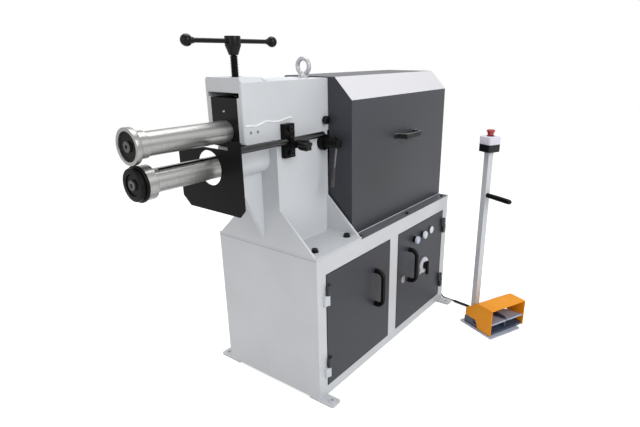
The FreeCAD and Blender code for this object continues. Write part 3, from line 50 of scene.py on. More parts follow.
def into_scene(name, data):
    """A new object of the data, linked into the scene."""
    made = bpy.data.objects.new(name, data)
    bpy.context.scene.collection.objects.link(made)
    return made


camera = into_scene("camera", bpy.data.cameras.new("camera"))
camera.location = (-2.209, -1.6075, 1.621)
camera.rotation_euler = (math.radians(70.794), 0, math.radians(-54.506))
camera.data.lens = 27.85
camera.data.sensor_width = 36
camera.data.shift_x = -0.0501
camera.data.shift_y = 0.0174
bpy.context.scene.camera = camera
bpy.context.scene.view_settings.view_transform = "Standard"

# Foot-switch lead
# A thin rubber cable leaves the gland in the cabinet's end, drops to the floor and goes round the
# corner. A thicker sleeve takes it on from there into the back of the foot-switch.

cable_diameter = 0.009
sleeve_diameter = 0.018
gland_mouth = (0.694, -0.18, 0.11)
collar_start = (0.671, -0.4225, 0.009)
collar_end = (0.6745, -0.404, 0.009)
cable_route = [
    (0.695, -0.18, 0.11), (0.737, -0.18, 0.11), (0.768, -0.188, 0.091), (0.781, -0.212, 0.057),
    (0.77, -0.246, 0.022), (0.742, -0.276, 0.006), (0.708, -0.302, 0.0045), (0.687, -0.334, 0.0045),
    (0.68, -0.374, 0.009), (0.672, -0.418, 0.009),
]
sleeve_route = [
    (0.672, -0.418, 0.009), (0.664, -0.462, 0.009), (0.66, -0.512, 0.009), (0.64, -0.556, 0.012),
    (0.6112, -0.5948, 0.02), (0.5931, -0.636, 0.02),
]


def linear(rgb):
    """The linear colour, with its alpha, of a colour given in 0 to 255."""
    part = np.array(rgb, float) / 255
    curve = np.where(part <= 0.04045, part / 12.92, ((part + 0.055) / 1.055) ** 2.4)
    return (*curve.tolist(), 1.0)


def add_sockets(group, way, **kinds):
    """Sockets of a node group, given by their names and kinds."""
    for name, kind in kinds.items():
        group.interface.new_socket(name=name, in_out=way, socket_type="NodeSocket" + kind)


def add_node(tree, kind, values=(), **settings):
    """A shader node with its settings, and with the values of inputs by their name or number."""
    node = tree.nodes.new("ShaderNode" + kind)
    for name, setting in settings.items():
        setattr(node, name, setting)
    for key, value in dict(values).items():
        node.inputs[key].default_value = value
    return node


def wire(tree, *wires):
    """Links, each given as a node, its output, the next node and its input."""
    for source, output, target, key in wires:
        tree.links.new(source.outputs[output], target.inputs[key])


def coat_group():
    """Paint, plating or moulding: two colours that drift into each other, with a fine grain.

    Drift is fractal noise, spread over 0 to 1. It picks the colour between Main and Worn and the
    roughness between Smooth and Rough. Height is a second, finer noise.
    """
    group = bpy.data.node_groups.new("coat_grain", "ShaderNodeTree")
    add_sockets(
        group, "INPUT", Vector="Vector", Main="Color", Worn="Color", Drift="Float", Grain="Float",
        Smooth="Float", Rough="Float",
    )
    add_sockets(group, "OUTPUT", Color="Color", Roughness="Float", Height="Float")
    given = group.nodes.new("NodeGroupInput")
    made = group.nodes.new("NodeGroupOutput")
    drift = add_node(group, "TexNoise", {"Detail": 7, "Roughness": 0.6})
    grain = add_node(group, "TexNoise", {"Detail": 2})
    spread = add_node(group, "MapRange", {"From Min": 0.3, "From Max": 0.7})
    gloss = add_node(group, "MapRange")
    mix = add_node(group, "Mix", data_type="RGBA")
    wire(
        group,
        (given, "Vector", drift, "Vector"), (given, "Drift", drift, "Scale"), (given, "Vector", grain, "Vector"),
        (given, "Grain", grain, "Scale"), (drift, "Fac", spread, "Value"), (spread, 0, mix, "Factor"),
        (given, "Main", mix, "A"), (given, "Worn", mix, "B"), (mix, "Result", made, "Color"),
        (spread, 0, gloss, "Value"), (given, "Smooth", gloss, "To Min"), (given, "Rough", gloss, "To Max"),
        (gloss, 0, made, "Roughness"), (grain, "Fac", made, "Height"),
    )
    return group


def edge_group():
    """Where a surface turns sharply: the bevelled normal, and how far it leaves the true one.

    Mask is 1 less the dot product of the two normals, times a gain and a patchy noise.
    """
    group = bpy.data.node_groups.new("worn_and_lit_edges", "ShaderNodeTree")
    add_sockets(group, "INPUT", Vector="Vector", Radius="Float", Gain="Float")
    add_sockets(group, "OUTPUT", Mask="Float", Normal="Vector")
    given = group.nodes.new("NodeGroupInput")
    made = group.nodes.new("NodeGroupOutput")
    bevel = add_node(group, "Bevel", samples=6)
    true = add_node(group, "NewGeometry")
    dot = add_node(group, "VectorMath", operation="DOT_PRODUCT")
    less = add_node(group, "Math", {0: 1}, operation="SUBTRACT")
    gain = add_node(group, "Math", operation="MULTIPLY", use_clamp=True)
    patchy = add_node(group, "TexNoise", {"Scale": 60, "Detail": 4})
    both = add_node(group, "Math", operation="MULTIPLY")
    wire(
        group,
        (given, "Radius", bevel, "Radius"), (given, "Vector", patchy, "Vector"), (bevel, 0, dot, 0),
        (true, "Normal", dot, 1), (dot, "Value", less, 1), (less, 0, gain, 0), (given, "Gain", gain, 1),
        (gain, 0, both, 0), (patchy, "Fac", both, 1), (both, 0, made, "Mask"), (bevel, 0, made, "Normal"),
    )
    return group


coat_grain = coat_group()
worn_and_lit_edges = edge_group()


def finish(
    name, main, worn, drift, grain, gloss, bump=0.0001,
    edge=None, gain=3.0, metal=0.0, stretch=(1, 1, 1), radius=0.0015, shine=0.5,
):
    """A material from the two groups: colours that drift, edges painted lighter as wear and as a painted highlight,
    and a fine relief.

    The colours are in 0 to 255, drift and grain are the scales of the noises, gloss is the least
    and the most roughness, and bump is the relief's depth in metres.
    """
    material = bpy.data.materials.new(name)
    material.use_nodes = True
    tree = material.node_tree
    shader = tree.nodes["Principled BSDF"]
    shader.inputs["Metallic"].default_value = metal
    shader.inputs["Specular IOR Level"].default_value = shine
    place = add_node(tree, "TexCoord")
    mapping = add_node(tree, "Mapping", {"Scale": stretch})
    coat = add_node(tree, "Group", node_tree=coat_grain, name="coat", values={
        "Main": linear(main), "Worn": linear(worn), "Drift": drift, "Grain": grain,
        "Smooth": gloss[0], "Rough": gloss[1],
    })
    edges = add_node(tree, "Group", {"Radius": radius, "Gain": gain}, node_tree=worn_and_lit_edges)
    # Edges take the edge colour: partly wear, partly a painted highlight where light would catch them.
    edge_wear_and_highlight = add_node(tree, "Mix", {"B": linear(edge or worn)}, data_type="RGBA")
    relief = add_node(tree, "Bump", {"Strength": 0.4, "Distance": bump})
    wire(
        tree,
        (place, "Object", mapping, "Vector"), (mapping, 0, coat, "Vector"), (place, "Object", edges, "Vector"),
        (edges, "Mask", edge_wear_and_highlight, "Factor"), (coat, "Color", edge_wear_and_highlight, "A"), (edge_wear_and_highlight, "Result", shader, "Base Color"),
        (coat, "Roughness", shader, "Roughness"), (coat, "Height", relief, "Height"),
        (edges, "Normal", relief, "Normal"), (relief, 0, shader, "Normal"),
    )
    return material


def skin(rings):
    """Rings of points joined in order into a closed surface that faces outward.

    Ring i, point k has the neighbours (i, k+1), (i+1, k+1) and (i+1, k). The two ends are closed
    by fans about their middles.
    """
    rings = np.asarray(rings, float)
    count, around = rings.shape[:2]
    points = np.concatenate([rings.reshape(-1, 3), [rings[0].mean(0), rings[-1].mean(0)]])
    i, k = np.meshgrid(np.arange(count - 1), np.arange(around), indexing="ij")
    beside = (k + 1) % around
    quads = np.stack([
        i * around + k, i * around + beside, (i + 1) * around + beside, (i + 1) * around + k,
    ], -1).reshape(-1, 4)
    k = np.arange(around)
    beside = (k + 1) % around
    last = (count - 1) * around
    caps = np.concatenate([
        np.stack([np.full(around, count * around), beside, k], -1),
        np.stack([np.full(around, count * around + 1), last + k, last + beside], -1),
    ])
    corners = points[np.concatenate([quads[:, [0, 1, 2]], quads[:, [0, 2, 3]], caps])]
    volume = np.einsum("ij,ij->", corners[:, 0], np.cross(corners[:, 1], corners[:, 2]))
    faces = quads.tolist() + caps.tolist()
    if volume < 0:
        faces = [face[::-1] for face in faces]
    return points, faces


def piece(name, shape, material, body, stands_for=(), sharp=35):
    """An object of a (points, faces) shape, on a body.

    It is shaded smooth but for the edges that turn by more than the angle sharp, in degrees.
    """
    mesh = bpy.data.meshes.new(name)
    mesh.from_pydata(shape[0].tolist(), [], shape[1])
    mesh.shade_smooth()
    mesh.set_sharp_from_angle(angle=math.radians(sharp))
    mesh.materials.append(material)
    made = into_scene(name, mesh)
    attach(made, body)
    if stands_for:
        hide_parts(*stands_for)
    return made


def unit(direction):
    """The direction with a length of 1."""
    direction = np.asarray(direction, float)
    return direction / np.linalg.norm(direction)


def square_to(axis):
    """Two unit directions square to an axis and to each other."""
    axis = unit(axis)
    helper = np.array([0, 0, 1.0]) if abs(axis[2]) < 0.9 else np.array([0, 1.0, 0])
    first = unit(np.cross(axis, helper))
    return first, np.cross(axis, first)


def turned(profile, place, axis, around=48, lobes=None):
    """A profile of (radius, distance along the axis) turned about the axis.

    Point (i, k) is place + distance i along the axis + radius i at the angle 2 pi k / around.
    lobes is a function of the angle and the distance that the radius is multiplied by.
    """
    profile = np.asarray(profile, float)
    first, second = square_to(axis)
    angle = 2 * np.pi * np.arange(around) / around
    spoke = np.cos(angle)[:, None] * first + np.sin(angle)[:, None] * second
    radius = profile[:, 0][:, None] * np.ones(around)
    if lobes:
        radius = radius * lobes(angle[None, :], profile[:, 1][:, None])
    middle = np.asarray(place, float) + profile[:, 1][:, None] * unit(axis)
    return skin(middle[:, None] + radius[..., None] * spoke[None])


def lead(name, route, diameter, material):
    """A round cord whose line is a NURBS spline with the route as its control points."""
    curve = bpy.data.curves.new(name, "CURVE")
    curve.dimensions = "3D"
    curve.bevel_depth = diameter / 2
    curve.bevel_resolution = 6
    curve.resolution_u = 12
    curve.use_fill_caps = True
    spline = curve.splines.new("NURBS")
    spline.points.add(len(route) - 1)
    for point, place in zip(spline.points, route):
        point.co = (*place, 1)
    spline.order_u = 3
    spline.use_endpoint_u = True
    curve.materials.append(material)
    made = into_scene(name, curve)
    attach(made, "frame")
    return made


rubber = finish("cable_rubber", (30, 30, 31), (40, 40, 42), 22, 1500, (0.5, 0.68), 0.0002, gain=0.0, shine=0.35)
cable = lead("foot_cable", cable_route, cable_diameter, rubber)
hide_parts("pedal_cable")
sleeve = lead("foot_sleeve", sleeve_route, sleeve_diameter, rubber)
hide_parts("cable_sleeve")


def boot(name, start, toward, wide, narrow, length, ribs):
    """A strain relief: a cone from wide to narrow, with ribs up to nine tenths of its length."""
    rib = 0.0006
    t = np.linspace(0, 1, 8 * ribs + 1)
    radius = wide + (narrow - wide) * t + rib * np.where(np.cos(2 * np.pi * ribs * t) > 0, 1, -1) * (t < 0.9)
    shape = turned(np.stack([radius, t * length], -1), start, unit(np.subtract(toward, start)), 32)
    return piece(name, shape, rubber, "frame")


gland_boot = boot("gland_boot", gland_mouth, cable_route[1], wide=0.0085, narrow=0.0056, length=0.034, ribs=5)
pedal_boot = boot("pedal_boot", sleeve_route[-1], sleeve_route[-2], wide=0.0125, narrow=0.0098, length=0.03, ribs=4)
sleeve_collar = boot("sleeve_collar", collar_start, collar_end, wide=0.0083, narrow=0.0052, length=0.018, ribs=2)

# Studio
# A white floor and background, and three soft lamps: one in front, one off the rollers' end and
# one above. The floor keeps the machine's shadow.


def seen_directly(tree):
    """1 for rays from the camera, from a reflection or through glass, and 0 for the rest."""
    path = add_node(tree, "LightPath")
    most = path.outputs["Is Camera Ray"]
    for name in ("Is Glossy Ray", "Is Transmission Ray"):
        top = add_node(tree, "Math", operation="MAXIMUM")
        tree.links.new(most, top.inputs[0])
        tree.links.new(path.outputs[name], top.inputs[1])
        most = top.outputs[0]
    return most


def white_world(strength):
    """White where it is seen, and a plain white light of the strength elsewhere."""
    world = bpy.data.worlds.new("studio")
    world.use_nodes = True
    tree = world.node_tree
    light = tree.nodes["Background"]
    light.inputs["Color"].default_value = (1, 1, 1, 1)
    light.inputs["Strength"].default_value = strength
    white = add_node(tree, "Background", {"Color": (1, 1, 1, 1)})
    mix = add_node(tree, "MixShader")
    tree.links.new(seen_directly(tree), mix.inputs[0])
    wire(tree, (light, 0, mix, 1), (white, 0, mix, 2), (mix, 0, tree.nodes["World Output"], "Surface"))
    bpy.context.scene.world = world


def lamp(name, place, aim, size, power, colour=(1, 1, 1)):
    """A square lamp that faces a point."""
    light = bpy.data.lights.new(name, "AREA")
    light.size = size
    light.energy = power
    light.color = colour
    holder = into_scene(name, light)
    holder.location = place
    away = np.subtract(place, aim)
    flat = math.hypot(away[0], away[1])
    holder.rotation_euler = (math.atan2(flat, away[2]), 0, math.atan2(away[1], away[0]) + math.pi / 2)


white_world(0.42)
lamp("front_lamp", (-1.1, -4.5, 3.4), (0, 0, 0.9), 2.6, 130)
lamp("side_lamp", (-4.8, -0.4, 2.6), (-0.3, 0, 0.9), 3.0, 42, (1, 0.97, 0.94))
lamp("top_lamp", (0.2, 0.4, 4.6), (0, 0, 0.9), 2.6, 96)


def studio_floor(half, shadow_lift):
    """A flat square. shadow_lift is the light that it gives off where it is seen."""
    mesh = bpy.data.meshes.new("floor")
    corners = [(-half, -half, 0), (half, -half, 0), (half, half, 0), (-half, half, 0)]
    mesh.from_pydata(corners, [], [(0, 1, 2, 3)])
    floor = into_scene("floor", mesh)
    material = bpy.data.materials.new("floor")
    material.use_nodes = True
    tree = material.node_tree
    paper = tree.nodes["Principled BSDF"]
    paper.inputs["Base Color"].default_value = (0.8, 0.8, 0.8, 1)
    paper.inputs["Roughness"].default_value = 1
    glow = add_node(tree, "Emission", {"Strength": shadow_lift})
    both = add_node(tree, "AddShader")
    choice = add_node(tree, "MixShader")
    tree.links.new(seen_directly(tree), choice.inputs[0])
    wire(
        tree,
        (paper, 0, both, 0), (glow, 0, both, 1), (paper, 0, choice, 1), (both, 0, choice, 2),
        (choice, 0, tree.nodes["Material Output"], "Surface"),
    )
    mesh.materials.append(material)


studio_floor(30, 0.62)

# Cabinet
# Folded steel sheet on four floor plates, welded and sprayed in light grey enamel. The mounting
# plate inside carries the switchgear.


def dress(material, *names):
    """Give CAD nodes a material."""
    for name in names:
        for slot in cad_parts[name].material_slots:
            slot.material = material


def enamel(name, main, worn):
    """Sprayed enamel, its edges painted paler as wear and as a painted highlight."""
    return finish(name, main, worn, 3, 420, (0.3, 0.42), 0.0002, edge=(222, 225, 229), gain=2.0)


light_enamel = enamel("light_enamel", (202, 205, 209), (195, 198, 202))
panel_grey = finish("panel_grey", (182, 189, 202), (168, 175, 188), 6, 600, (0.38, 0.5), shine=0.3)
black_nylon = finish(
    "black_nylon", (8, 8, 9), (13, 13, 14), 14, 1500, (0.26, 0.38), 0.0002,
    edge=(26, 26, 28), gain=1.2, shine=0.17,
)
dress(light_enamel, "cabinet_shell")
dress(panel_grey, "control_panel")
dress(black_nylon, "cable_glands")

# Doors
# Two shallow steel pans in slate grey powder coat, each hung on a pair of lift-off hinges. The
# hinge halves on the frame are light on the left side and dark on the right.


def beyond(direction, limit):
    """A test: 1 where the point's share along a direction is over the limit, in metres."""

    def test(tree, point):
        share = add_node(tree, "VectorMath", {1: direction}, operation="DOT_PRODUCT")
        over = add_node(tree, "Math", {1: limit}, operation="GREATER_THAN")
        tree.links.new(point, share.inputs[0])
        tree.links.new(share.outputs["Value"], over.inputs[0])
        return over.outputs[0]

    return test


def with_region(material, main, worn, test):
    """The material's colours change to main and worn where the test gives 1."""
    tree = material.node_tree
    coat = tree.nodes["coat"]
    mask = test(tree, add_node(tree, "TexCoord").outputs["Object"])
    for name, colour in (("Main", main), ("Worn", worn)):
        old = coat.inputs[name]
        pick = add_node(tree, "Mix", data_type="RGBA")
        if old.is_linked:
            tree.links.new(old.links[0].from_socket, pick.inputs["A"])
        pick.inputs["A"].default_value = old.default_value
        pick.inputs["B"].default_value = linear(colour)
        tree.links.new(mask, pick.inputs["Factor"])
        tree.links.new(pick.outputs["Result"], old)
    return material


slate_coat = finish(
    "slate_coat", (44, 47, 53), (54, 57, 64), 1.6, 1100, (0.42, 0.56), 0.0003,
    edge=(96, 98, 104), gain=1.6, shine=0.28,
)
right_side = beyond((1, 0, 0), 0.0)
hinge_paint = finish("hinge_paint", (203, 207, 211), (196, 200, 205), 3, 420, (0.3, 0.42), 0.0002)
with_region(hinge_paint, (52, 54, 59), (46, 48, 53), right_side)
dress(slate_coat, "left_door", "right_door")
dress(hinge_paint, "hinge_bottoms")


def carried(path, section, up):
    """A closed section of (across, up) points carried along a path, square to it.

    The section may be one outline, or one for each point of the path.
    """
    path = np.asarray(path, float)
    section = np.asarray(section, float)
    if section.ndim == 2:
        section = np.repeat(section[None], len(path), 0)
    run = np.gradient(path, axis=0)
    run /= np.linalg.norm(run, axis=1)[:, None]
    across = np.cross(run, np.asarray(up, float))
    across /= np.linalg.norm(across, axis=1)[:, None]
    above = np.cross(across, run)
    return skin(path[:, None] + section[..., :1] * across[:, None] + section[..., 1:] * above[:, None])


def oval(width, height, power=2.0, around=32):
    """A superellipse: |x / a| and |y / b| to the power, added up, make 1."""
    angle = 2 * np.pi * np.arange(around) / around
    round_point = np.stack([np.cos(angle), np.sin(angle)], -1)
    return np.sign(round_point) * np.abs(round_point) ** (2 / power) * (width / 2, height / 2)


def box_corners(node):
    """The low and the high corner of a CAD node's box."""
    return np.array(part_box(node))


def door_handle(side):
    """An oval bow: straight out of the door, a quarter circle, up, a quarter circle, and back.

    Its section is the grip's, and grows to the foot's over the foot's depth.
    """
    foot = 0.014
    grip = 0.0128
    foot_depth = 0.01
    reach = 0.053
    bend = 0.034
    straight = 11
    low, high = box_corners(side + "_door_handle")
    middle = (low[0] + high[0]) / 2
    face = high[1]
    bottom = low[2] + foot
    top = high[2] - foot
    turn = np.linspace(0, np.pi / 2, 17)
    out_y = face - (reach - bend) * np.arange(straight) / straight
    arc_y = face - reach + bend * (1 - np.sin(turn))
    rise = bend * (1 - np.cos(turn))
    y = np.concatenate([out_y, arc_y, arc_y[::-1], out_y[::-1]])
    z = np.concatenate([np.full(straight, bottom), bottom + rise, top - rise[::-1], np.full(straight, top)])
    path = np.stack([np.full(len(y), middle), y, z], -1)
    swell = 1 + (foot / grip - 1) * np.clip(1 - (face - y) / foot_depth, 0, 1)
    sections = oval(2 * grip, 1.7 * grip, 2.6)[None] * swell[:, None, None]
    shape = carried(path, sections, (1, 0, 0))
    piece(side + "_bow_handle", shape, black_nylon, side + "_door", [side + "_door_handle"])


door_handle("left")
door_handle("right")

# Door controls
# Three push buttons in black collars, a main switch with a pale escutcheon and a black lever, and a
# zinc-plated cylinder lock. A small plated rivet closes a hole under the switch.

zinc_plate = finish("zinc_plate", (184, 185, 188), (160, 161, 165), 26, 900, (0.38, 0.52), metal=0.8, gain=0.5)
pale_plastic = finish("pale_plastic", (214, 213, 224), (204, 203, 214), 12, 900, (0.3, 0.42))
dress(black_nylon, "button_collars")
dress(pale_plastic, "switch_plate")
dress(zinc_plate, "lock_housing", "key_lock")


def button_cap(side, cap, main, worn):
    """A round cap of the depth cap: a rim, a shallow groove and a domed face, on a stem."""
    low, high = box_corners(side + "_button")
    radius = (high[0] - low[0]) / 2
    depth = high[1] - low[1]
    place = ((low[0] + high[0]) / 2, low[1], (low[2] + high[2]) / 2)
    stem = 0.0075
    profile = [
        (0.004, 0.0002), (0.6 * radius, 0.0006), (0.78 * radius, 0.0014), (0.8 * radius, 0.0019),
        (0.84 * radius, 0.0019), (0.86 * radius, 0.0006), (0.93 * radius, 0.0002), (0.985 * radius, 0.0009),
        (radius, 0.0026), (radius, cap), (stem, cap), (stem, depth),
    ]
    material = finish(side + "_button", main, worn, 20, 900, (0.18, 0.32), 0.00005)
    shape = turned(profile, place, (0, 1, 0))
    piece(side + "_push_button", shape, material, side + "_button", [side + "_button"])


button_cap("left", 0.012, (186, 194, 208), (172, 182, 198))
button_cap("middle", 0.012, (214, 218, 224), (204, 208, 214))
button_cap("right", 0.004, (222, 224, 228), (212, 214, 219))


def eased(outline, radius, steps=4):
    """An open outline whose inner corners are replaced by curves of about the radius."""
    outline = np.asarray(outline, float)
    made = [outline[:1]]
    for before, corner, after in zip(outline, outline[1:], outline[2:]):
        reach_in = before - corner
        reach_out = after - corner
        cut = min(radius, 0.45 * np.linalg.norm(reach_in), 0.45 * np.linalg.norm(reach_out))
        start = corner + reach_in / np.linalg.norm(reach_in) * cut
        end = corner + reach_out / np.linalg.norm(reach_out) * cut
        t = np.linspace(0, 1, steps + 1)[:, None]
        made.append((1 - t) ** 2 * start + 2 * t * (1 - t) * corner + t ** 2 * end)
    made.append(outline[-1:])
    return np.concatenate(made)


def joined(*parts):
    """Several (points, faces) as one."""
    points = np.concatenate([part[0] for part in parts])
    faces = []
    start = 0
    for part in parts:
        faces += [[start + corner for corner in face] for face in part[1]]
        start += len(part[0])
    return points, faces


def rotary_lever():
    """A round boss, and a blade that hangs from it: superellipses whose width follows a teardrop."""
    low, high = box_corners("switch_lever")
    middle = (low[0] + high[0]) / 2
    top = high[2]
    centre = top - 0.032
    boss_front = low[1] + 0.016
    boss_radius = 0.0228
    boss_depth = 0.0158
    stem = 0.0061
    narrow = 0.016
    swell = 0.01
    thick = 0.0235
    blade_middle = 0.012
    boss = turned(
        eased([
            (0.004, 0), (boss_radius, 0), (boss_radius, boss_depth), (stem, boss_depth),
            (stem, high[1] - boss_front),
        ], 0.002),
        (middle, boss_front, centre), (0, 1, 0),
    )
    t = np.linspace(0, 1, 25)
    z = top + (low[2] - top) * t
    width = narrow + swell * np.exp(-(((z - centre - 0.008) / 0.026) ** 2))
    ends = np.sqrt(np.clip(1 - np.abs(2 * t - 1) ** 9, 0.02, 1))
    path = np.stack([np.full(25, middle), np.full(25, low[1] + blade_middle), z], -1)
    sections = np.stack([oval(w * e, thick * e, 3.4) for w, e in zip(width, ends)])
    blade = carried(path, sections, (0, -1, 0))
    piece("rotary_lever", joined(boss, blade), black_nylon, "switch_lever", ["switch_lever"])


rotary_lever()
rivet_x = 0.321
rivet_z = 0.317
rivet_head = 0.003
rivet_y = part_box("right_door_handle")[1][1] - rivet_head
rivet_profile = [(0.0005, 0), (0.0026, 0.0005), (0.004, 0.0018), (0.0045, 0.0035)]
rivet = turned(rivet_profile, (rivet_x, rivet_y, rivet_z), (0, 1, 0), 24)
piece("switch_rivet", rivet, zinc_plate, "right_door")

# Head frame
# The arm is a casting on a welded column with two flared plates and a base plate. All of it, with
# the bearing housings, is filled, rubbed down and sprayed in the light enamel.

# The base plate is painted a little darker than the enamel as painted shade, and a band along the foot of its left
# end darker still as a painted shadow.
seam_shadow_band = beyond((-1, 0, -1), -0.0775)
shaded_plate_enamel = enamel("shaded_plate_enamel", (196, 199, 203), (188, 191, 195))
with_region(shaded_plate_enamel, (146, 148, 151), (138, 140, 143), seam_shadow_band)
dress(light_enamel, "head_casting", "flare_plates", "lower_shaft_housing", "rear_hanger", "swing_yoke")
dress(shaded_plate_enamel, "base_plate")
# A paler copy of the enamel for the arm's bead: a painted highlight where light catches the bead.
bead_highlight_enamel = finish("bead_highlight_enamel", (236, 238, 241), (226, 228, 232), 9, 700, (0.25, 0.36))


def weld_bead(route, radius):
    """A half-sunk round bead along a route whose radius ripples, one ripple to each 5 mm.

    The route is measured off in steps of 1.25 mm and smoothed by a running mean over nine of
    them. The radius is scaled by 0.86 plus 0.14 of the size of a cosine of the distance.
    """
    ripple = 0.005
    reach = 4
    route = np.asarray(route, float)
    legs = np.linalg.norm(np.diff(route, axis=0), axis=1)
    reached = np.concatenate([[0], np.cumsum(legs)])
    s = np.linspace(0, reached[-1], int(reached[-1] * 4 / ripple) + 1)
    path = np.stack([np.interp(s, reached, route[:, i]) for i in range(3)], -1)
    padded = np.concatenate([np.repeat(path[:1], reach, 0), path, np.repeat(path[-1:], reach, 0)])
    mean = np.ones(2 * reach + 1) / (2 * reach + 1)
    path = np.stack([np.convolve(padded[:, i], mean, "valid") for i in range(3)], -1)
    taper = np.clip(np.minimum(s, reached[-1] - s) / 0.004, 0.15, 1)
    scale = radius * taper * (0.86 + 0.14 * np.abs(np.cos(np.pi * s / ripple)))
    return carried(path, oval(2, 2, 2, 10)[None] * scale[:, None, None], (0, 0.0871, 0.9962))


def frame_welds():
    """Fillets at the feet of the column and the flared plates, and a bead on the arm's side, painted paler than the
    enamel as a painted highlight.
    """
    fillet = 0.0042
    plate = 0.0125
    clear = 0.014
    arm_low, arm_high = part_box("head_casting")
    plate_low, plate_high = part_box("flare_plates")
    floor = plate_low[2] + 0.001
    beads = []
    for side, wall, end in ((-1, arm_low[1], plate_low[1]), (1, arm_high[1], plate_high[1])):
        y = wall + side * 0.001
        beads.append(weld_bead([(plate_low[0] + clear, y, floor), (plate_high[0] - clear, y, floor)], fillet))
        for x in (plate_low[0] + plate, plate_high[0] - plate):
            beads.append(weld_bead([(x, y, floor), (x, end - side * 0.006, floor)], fillet))
    piece("frame_welds", joined(*beads), light_enamel, "frame", sharp=60)
    y = arm_low[1] - 0.0004
    line = [
        (-0.842, y, 1.342), (-0.81, y, 1.341), (-0.782, y, 1.337), (-0.75, y, 1.345), (-0.721, y, 1.352),
        (-0.685, y, 1.344), (-0.646, y, 1.343), (-0.61, y, 1.349), (-0.583, y, 1.353), (-0.565, y, 1.35),
    ]
    piece("arm_side_bead", weld_bead(line, 0.0041), bead_highlight_enamel, "frame", sharp=60)


frame_welds()

# Screws
# Blackened socket-head screws hold the base, the hood and the clamp block, and two grub screws sit
# in the arm's side. The ring over the front left floor hole is painted with the cabinet, and the
# forged lifting eye is zinc-plated.


def blackened(name, main, worn, gloss, bump, shine):
    """Steel with a black oxide skin, its edges painted lighter as rubbed-through wear and as a painted highlight.
    """
    return finish(name, main, worn, 9, 900, gloss, bump, edge=(60, 60, 62), gain=1.6, shine=shine)


black_oxide = blackened("black_oxide", (11, 11, 11), (17, 17, 18), (0.34, 0.48), 0.0002, 0.08)
near_floor = beyond((0, 0, -1), -0.1)
screw_black = finish("screw_black", (15, 15, 17), (24, 24, 26), 30, 900, (0.3, 0.46), shine=0.2)
with_region(screw_black, (203, 207, 211), (196, 200, 205), near_floor)
dress(screw_black, "screws")
dress(zinc_plate, "eye_bolt")


def socket_screw(place, axis, head, height, socket, depth, around=72):
    """A round head with a hexagon socket, turned from (radius, distance, share of hexagon) rings.

    A hexagon's radius is the cosine of 30 degrees over the cosine of the angle from the nearest
    flat's middle.
    """
    chamfer = 0.0012
    rings = np.array([
        (0.0004, depth, 1), (socket, depth, 1), (socket, 0.0006, 1), (socket + 0.0006, 0, 0),
        (head - chamfer, 0, 0), (head, chamfer, 0), (head, height, 0),
    ])

    def flats(angle, along):
        hexagon = np.cos(np.pi / 6) / np.cos(angle % (np.pi / 3) - np.pi / 6)
        return 1 + rings[:, 2:] * (hexagon - 1)

    return turned(rings[:, :2], place, axis, around, flats)


grub_xs = (-0.812, -0.774)
grub_z = 1.313
grub_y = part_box("head_casting")[0][1] - 0.0008
grub_screws = joined(*[
    socket_screw((x, grub_y, grub_z), (0, 1, 0), head=0.0062, height=0.0018, socket=0.003, depth=0.0014)
    for x in grub_xs
])
piece("arm_grub_screws", grub_screws, black_oxide, "frame")

# Bearings
# Bronze bushes carry both shafts, and the spindle turns in a bronze nut and pushes on a bronze pad.
# The front block is blackened, with a bright grease nipple in its face.

bronze = finish("bearing_bronze", (66, 55, 40), (46, 38, 28), 12, 900, (0.34, 0.52), metal=0.9, gain=0.5)
nipple = beyond((-1, 0, 0), 0.8455)
block_black = blackened("block_black", (13, 13, 13), (20, 20, 21), (0.3, 0.44), 0.0002, 0.15)
with_region(block_black, (190, 191, 196), (170, 171, 176), nipple)
dress(bronze, "bronze_bushes", "upper_bushes", "thrust_pad")
dress(block_black, "front_bearing_block")

# Shafts and gears
# Both shafts are ground steel with fine turning marks round them, and a keyway is milled in the
# lower one. A grooved collar on it takes the shifting pin. The gears are cut steel.


def along_x(material, amount):
    """Turning marks round X: the highlight is drawn out along X by the amount."""
    tree = material.node_tree
    shader = tree.nodes["Principled BSDF"]
    shader.inputs["Anisotropic"].default_value = amount
    axis = add_node(tree, "CombineXYZ", {"X": 1, "Z": 0.02})
    tree.links.new(axis.outputs[0], shader.inputs["Tangent"])
    return material


def bright_steel(name, edge):
    """Ground steel: its noise is drawn out round X, so that it shows as turning marks."""
    return along_x(finish(
        name, (162, 162, 161), (144, 144, 142), 1, 5, (0.26, 0.36), 0.00001,
        metal=0.85, stretch=(380, 1.5, 1.5), gain=0.6, edge=edge,
    ), 0.7)


turned_steel = bright_steel("turned_steel", (200, 200, 200))
dull_steel = finish("dull_steel", (112, 110, 109), (88, 86, 85), 18, 900, (0.36, 0.5), 0.00005, metal=0.2, gain=0.6)
dress(turned_steel, "upper_gear", "lower_gear", "output_sleeve")

shaft_radius = 0.045
nose_radius = 0.03
seat_radius = 0.035
tail_radius = 0.025
seat_x = 0.185
upper_seat_end = 0.258
lower_seat_end = 0.252
tail_end = 0.47
upper_low, upper_high = box_corners("upper_roller")
lower_low, lower_high = box_corners("lower_roller")
upper_z = (upper_low[2] + upper_high[2]) / 2
lower_z = (lower_low[2] + lower_high[2]) / 2
roller_face = lower_low[0]
nose_start = roller_face + 0.012
ring_radius = 0.064
ring_width = 0.037


def stepped(steps, rims=0.0008):
    """A profile of (radius, start, end) steps along X whose outer corners are chamfered."""
    profile = []
    for radius, start, end in steps:
        profile += [(radius - rims, start), (radius, start + rims), (radius, end - rims), (radius - rims, end)]
    return np.array(profile)


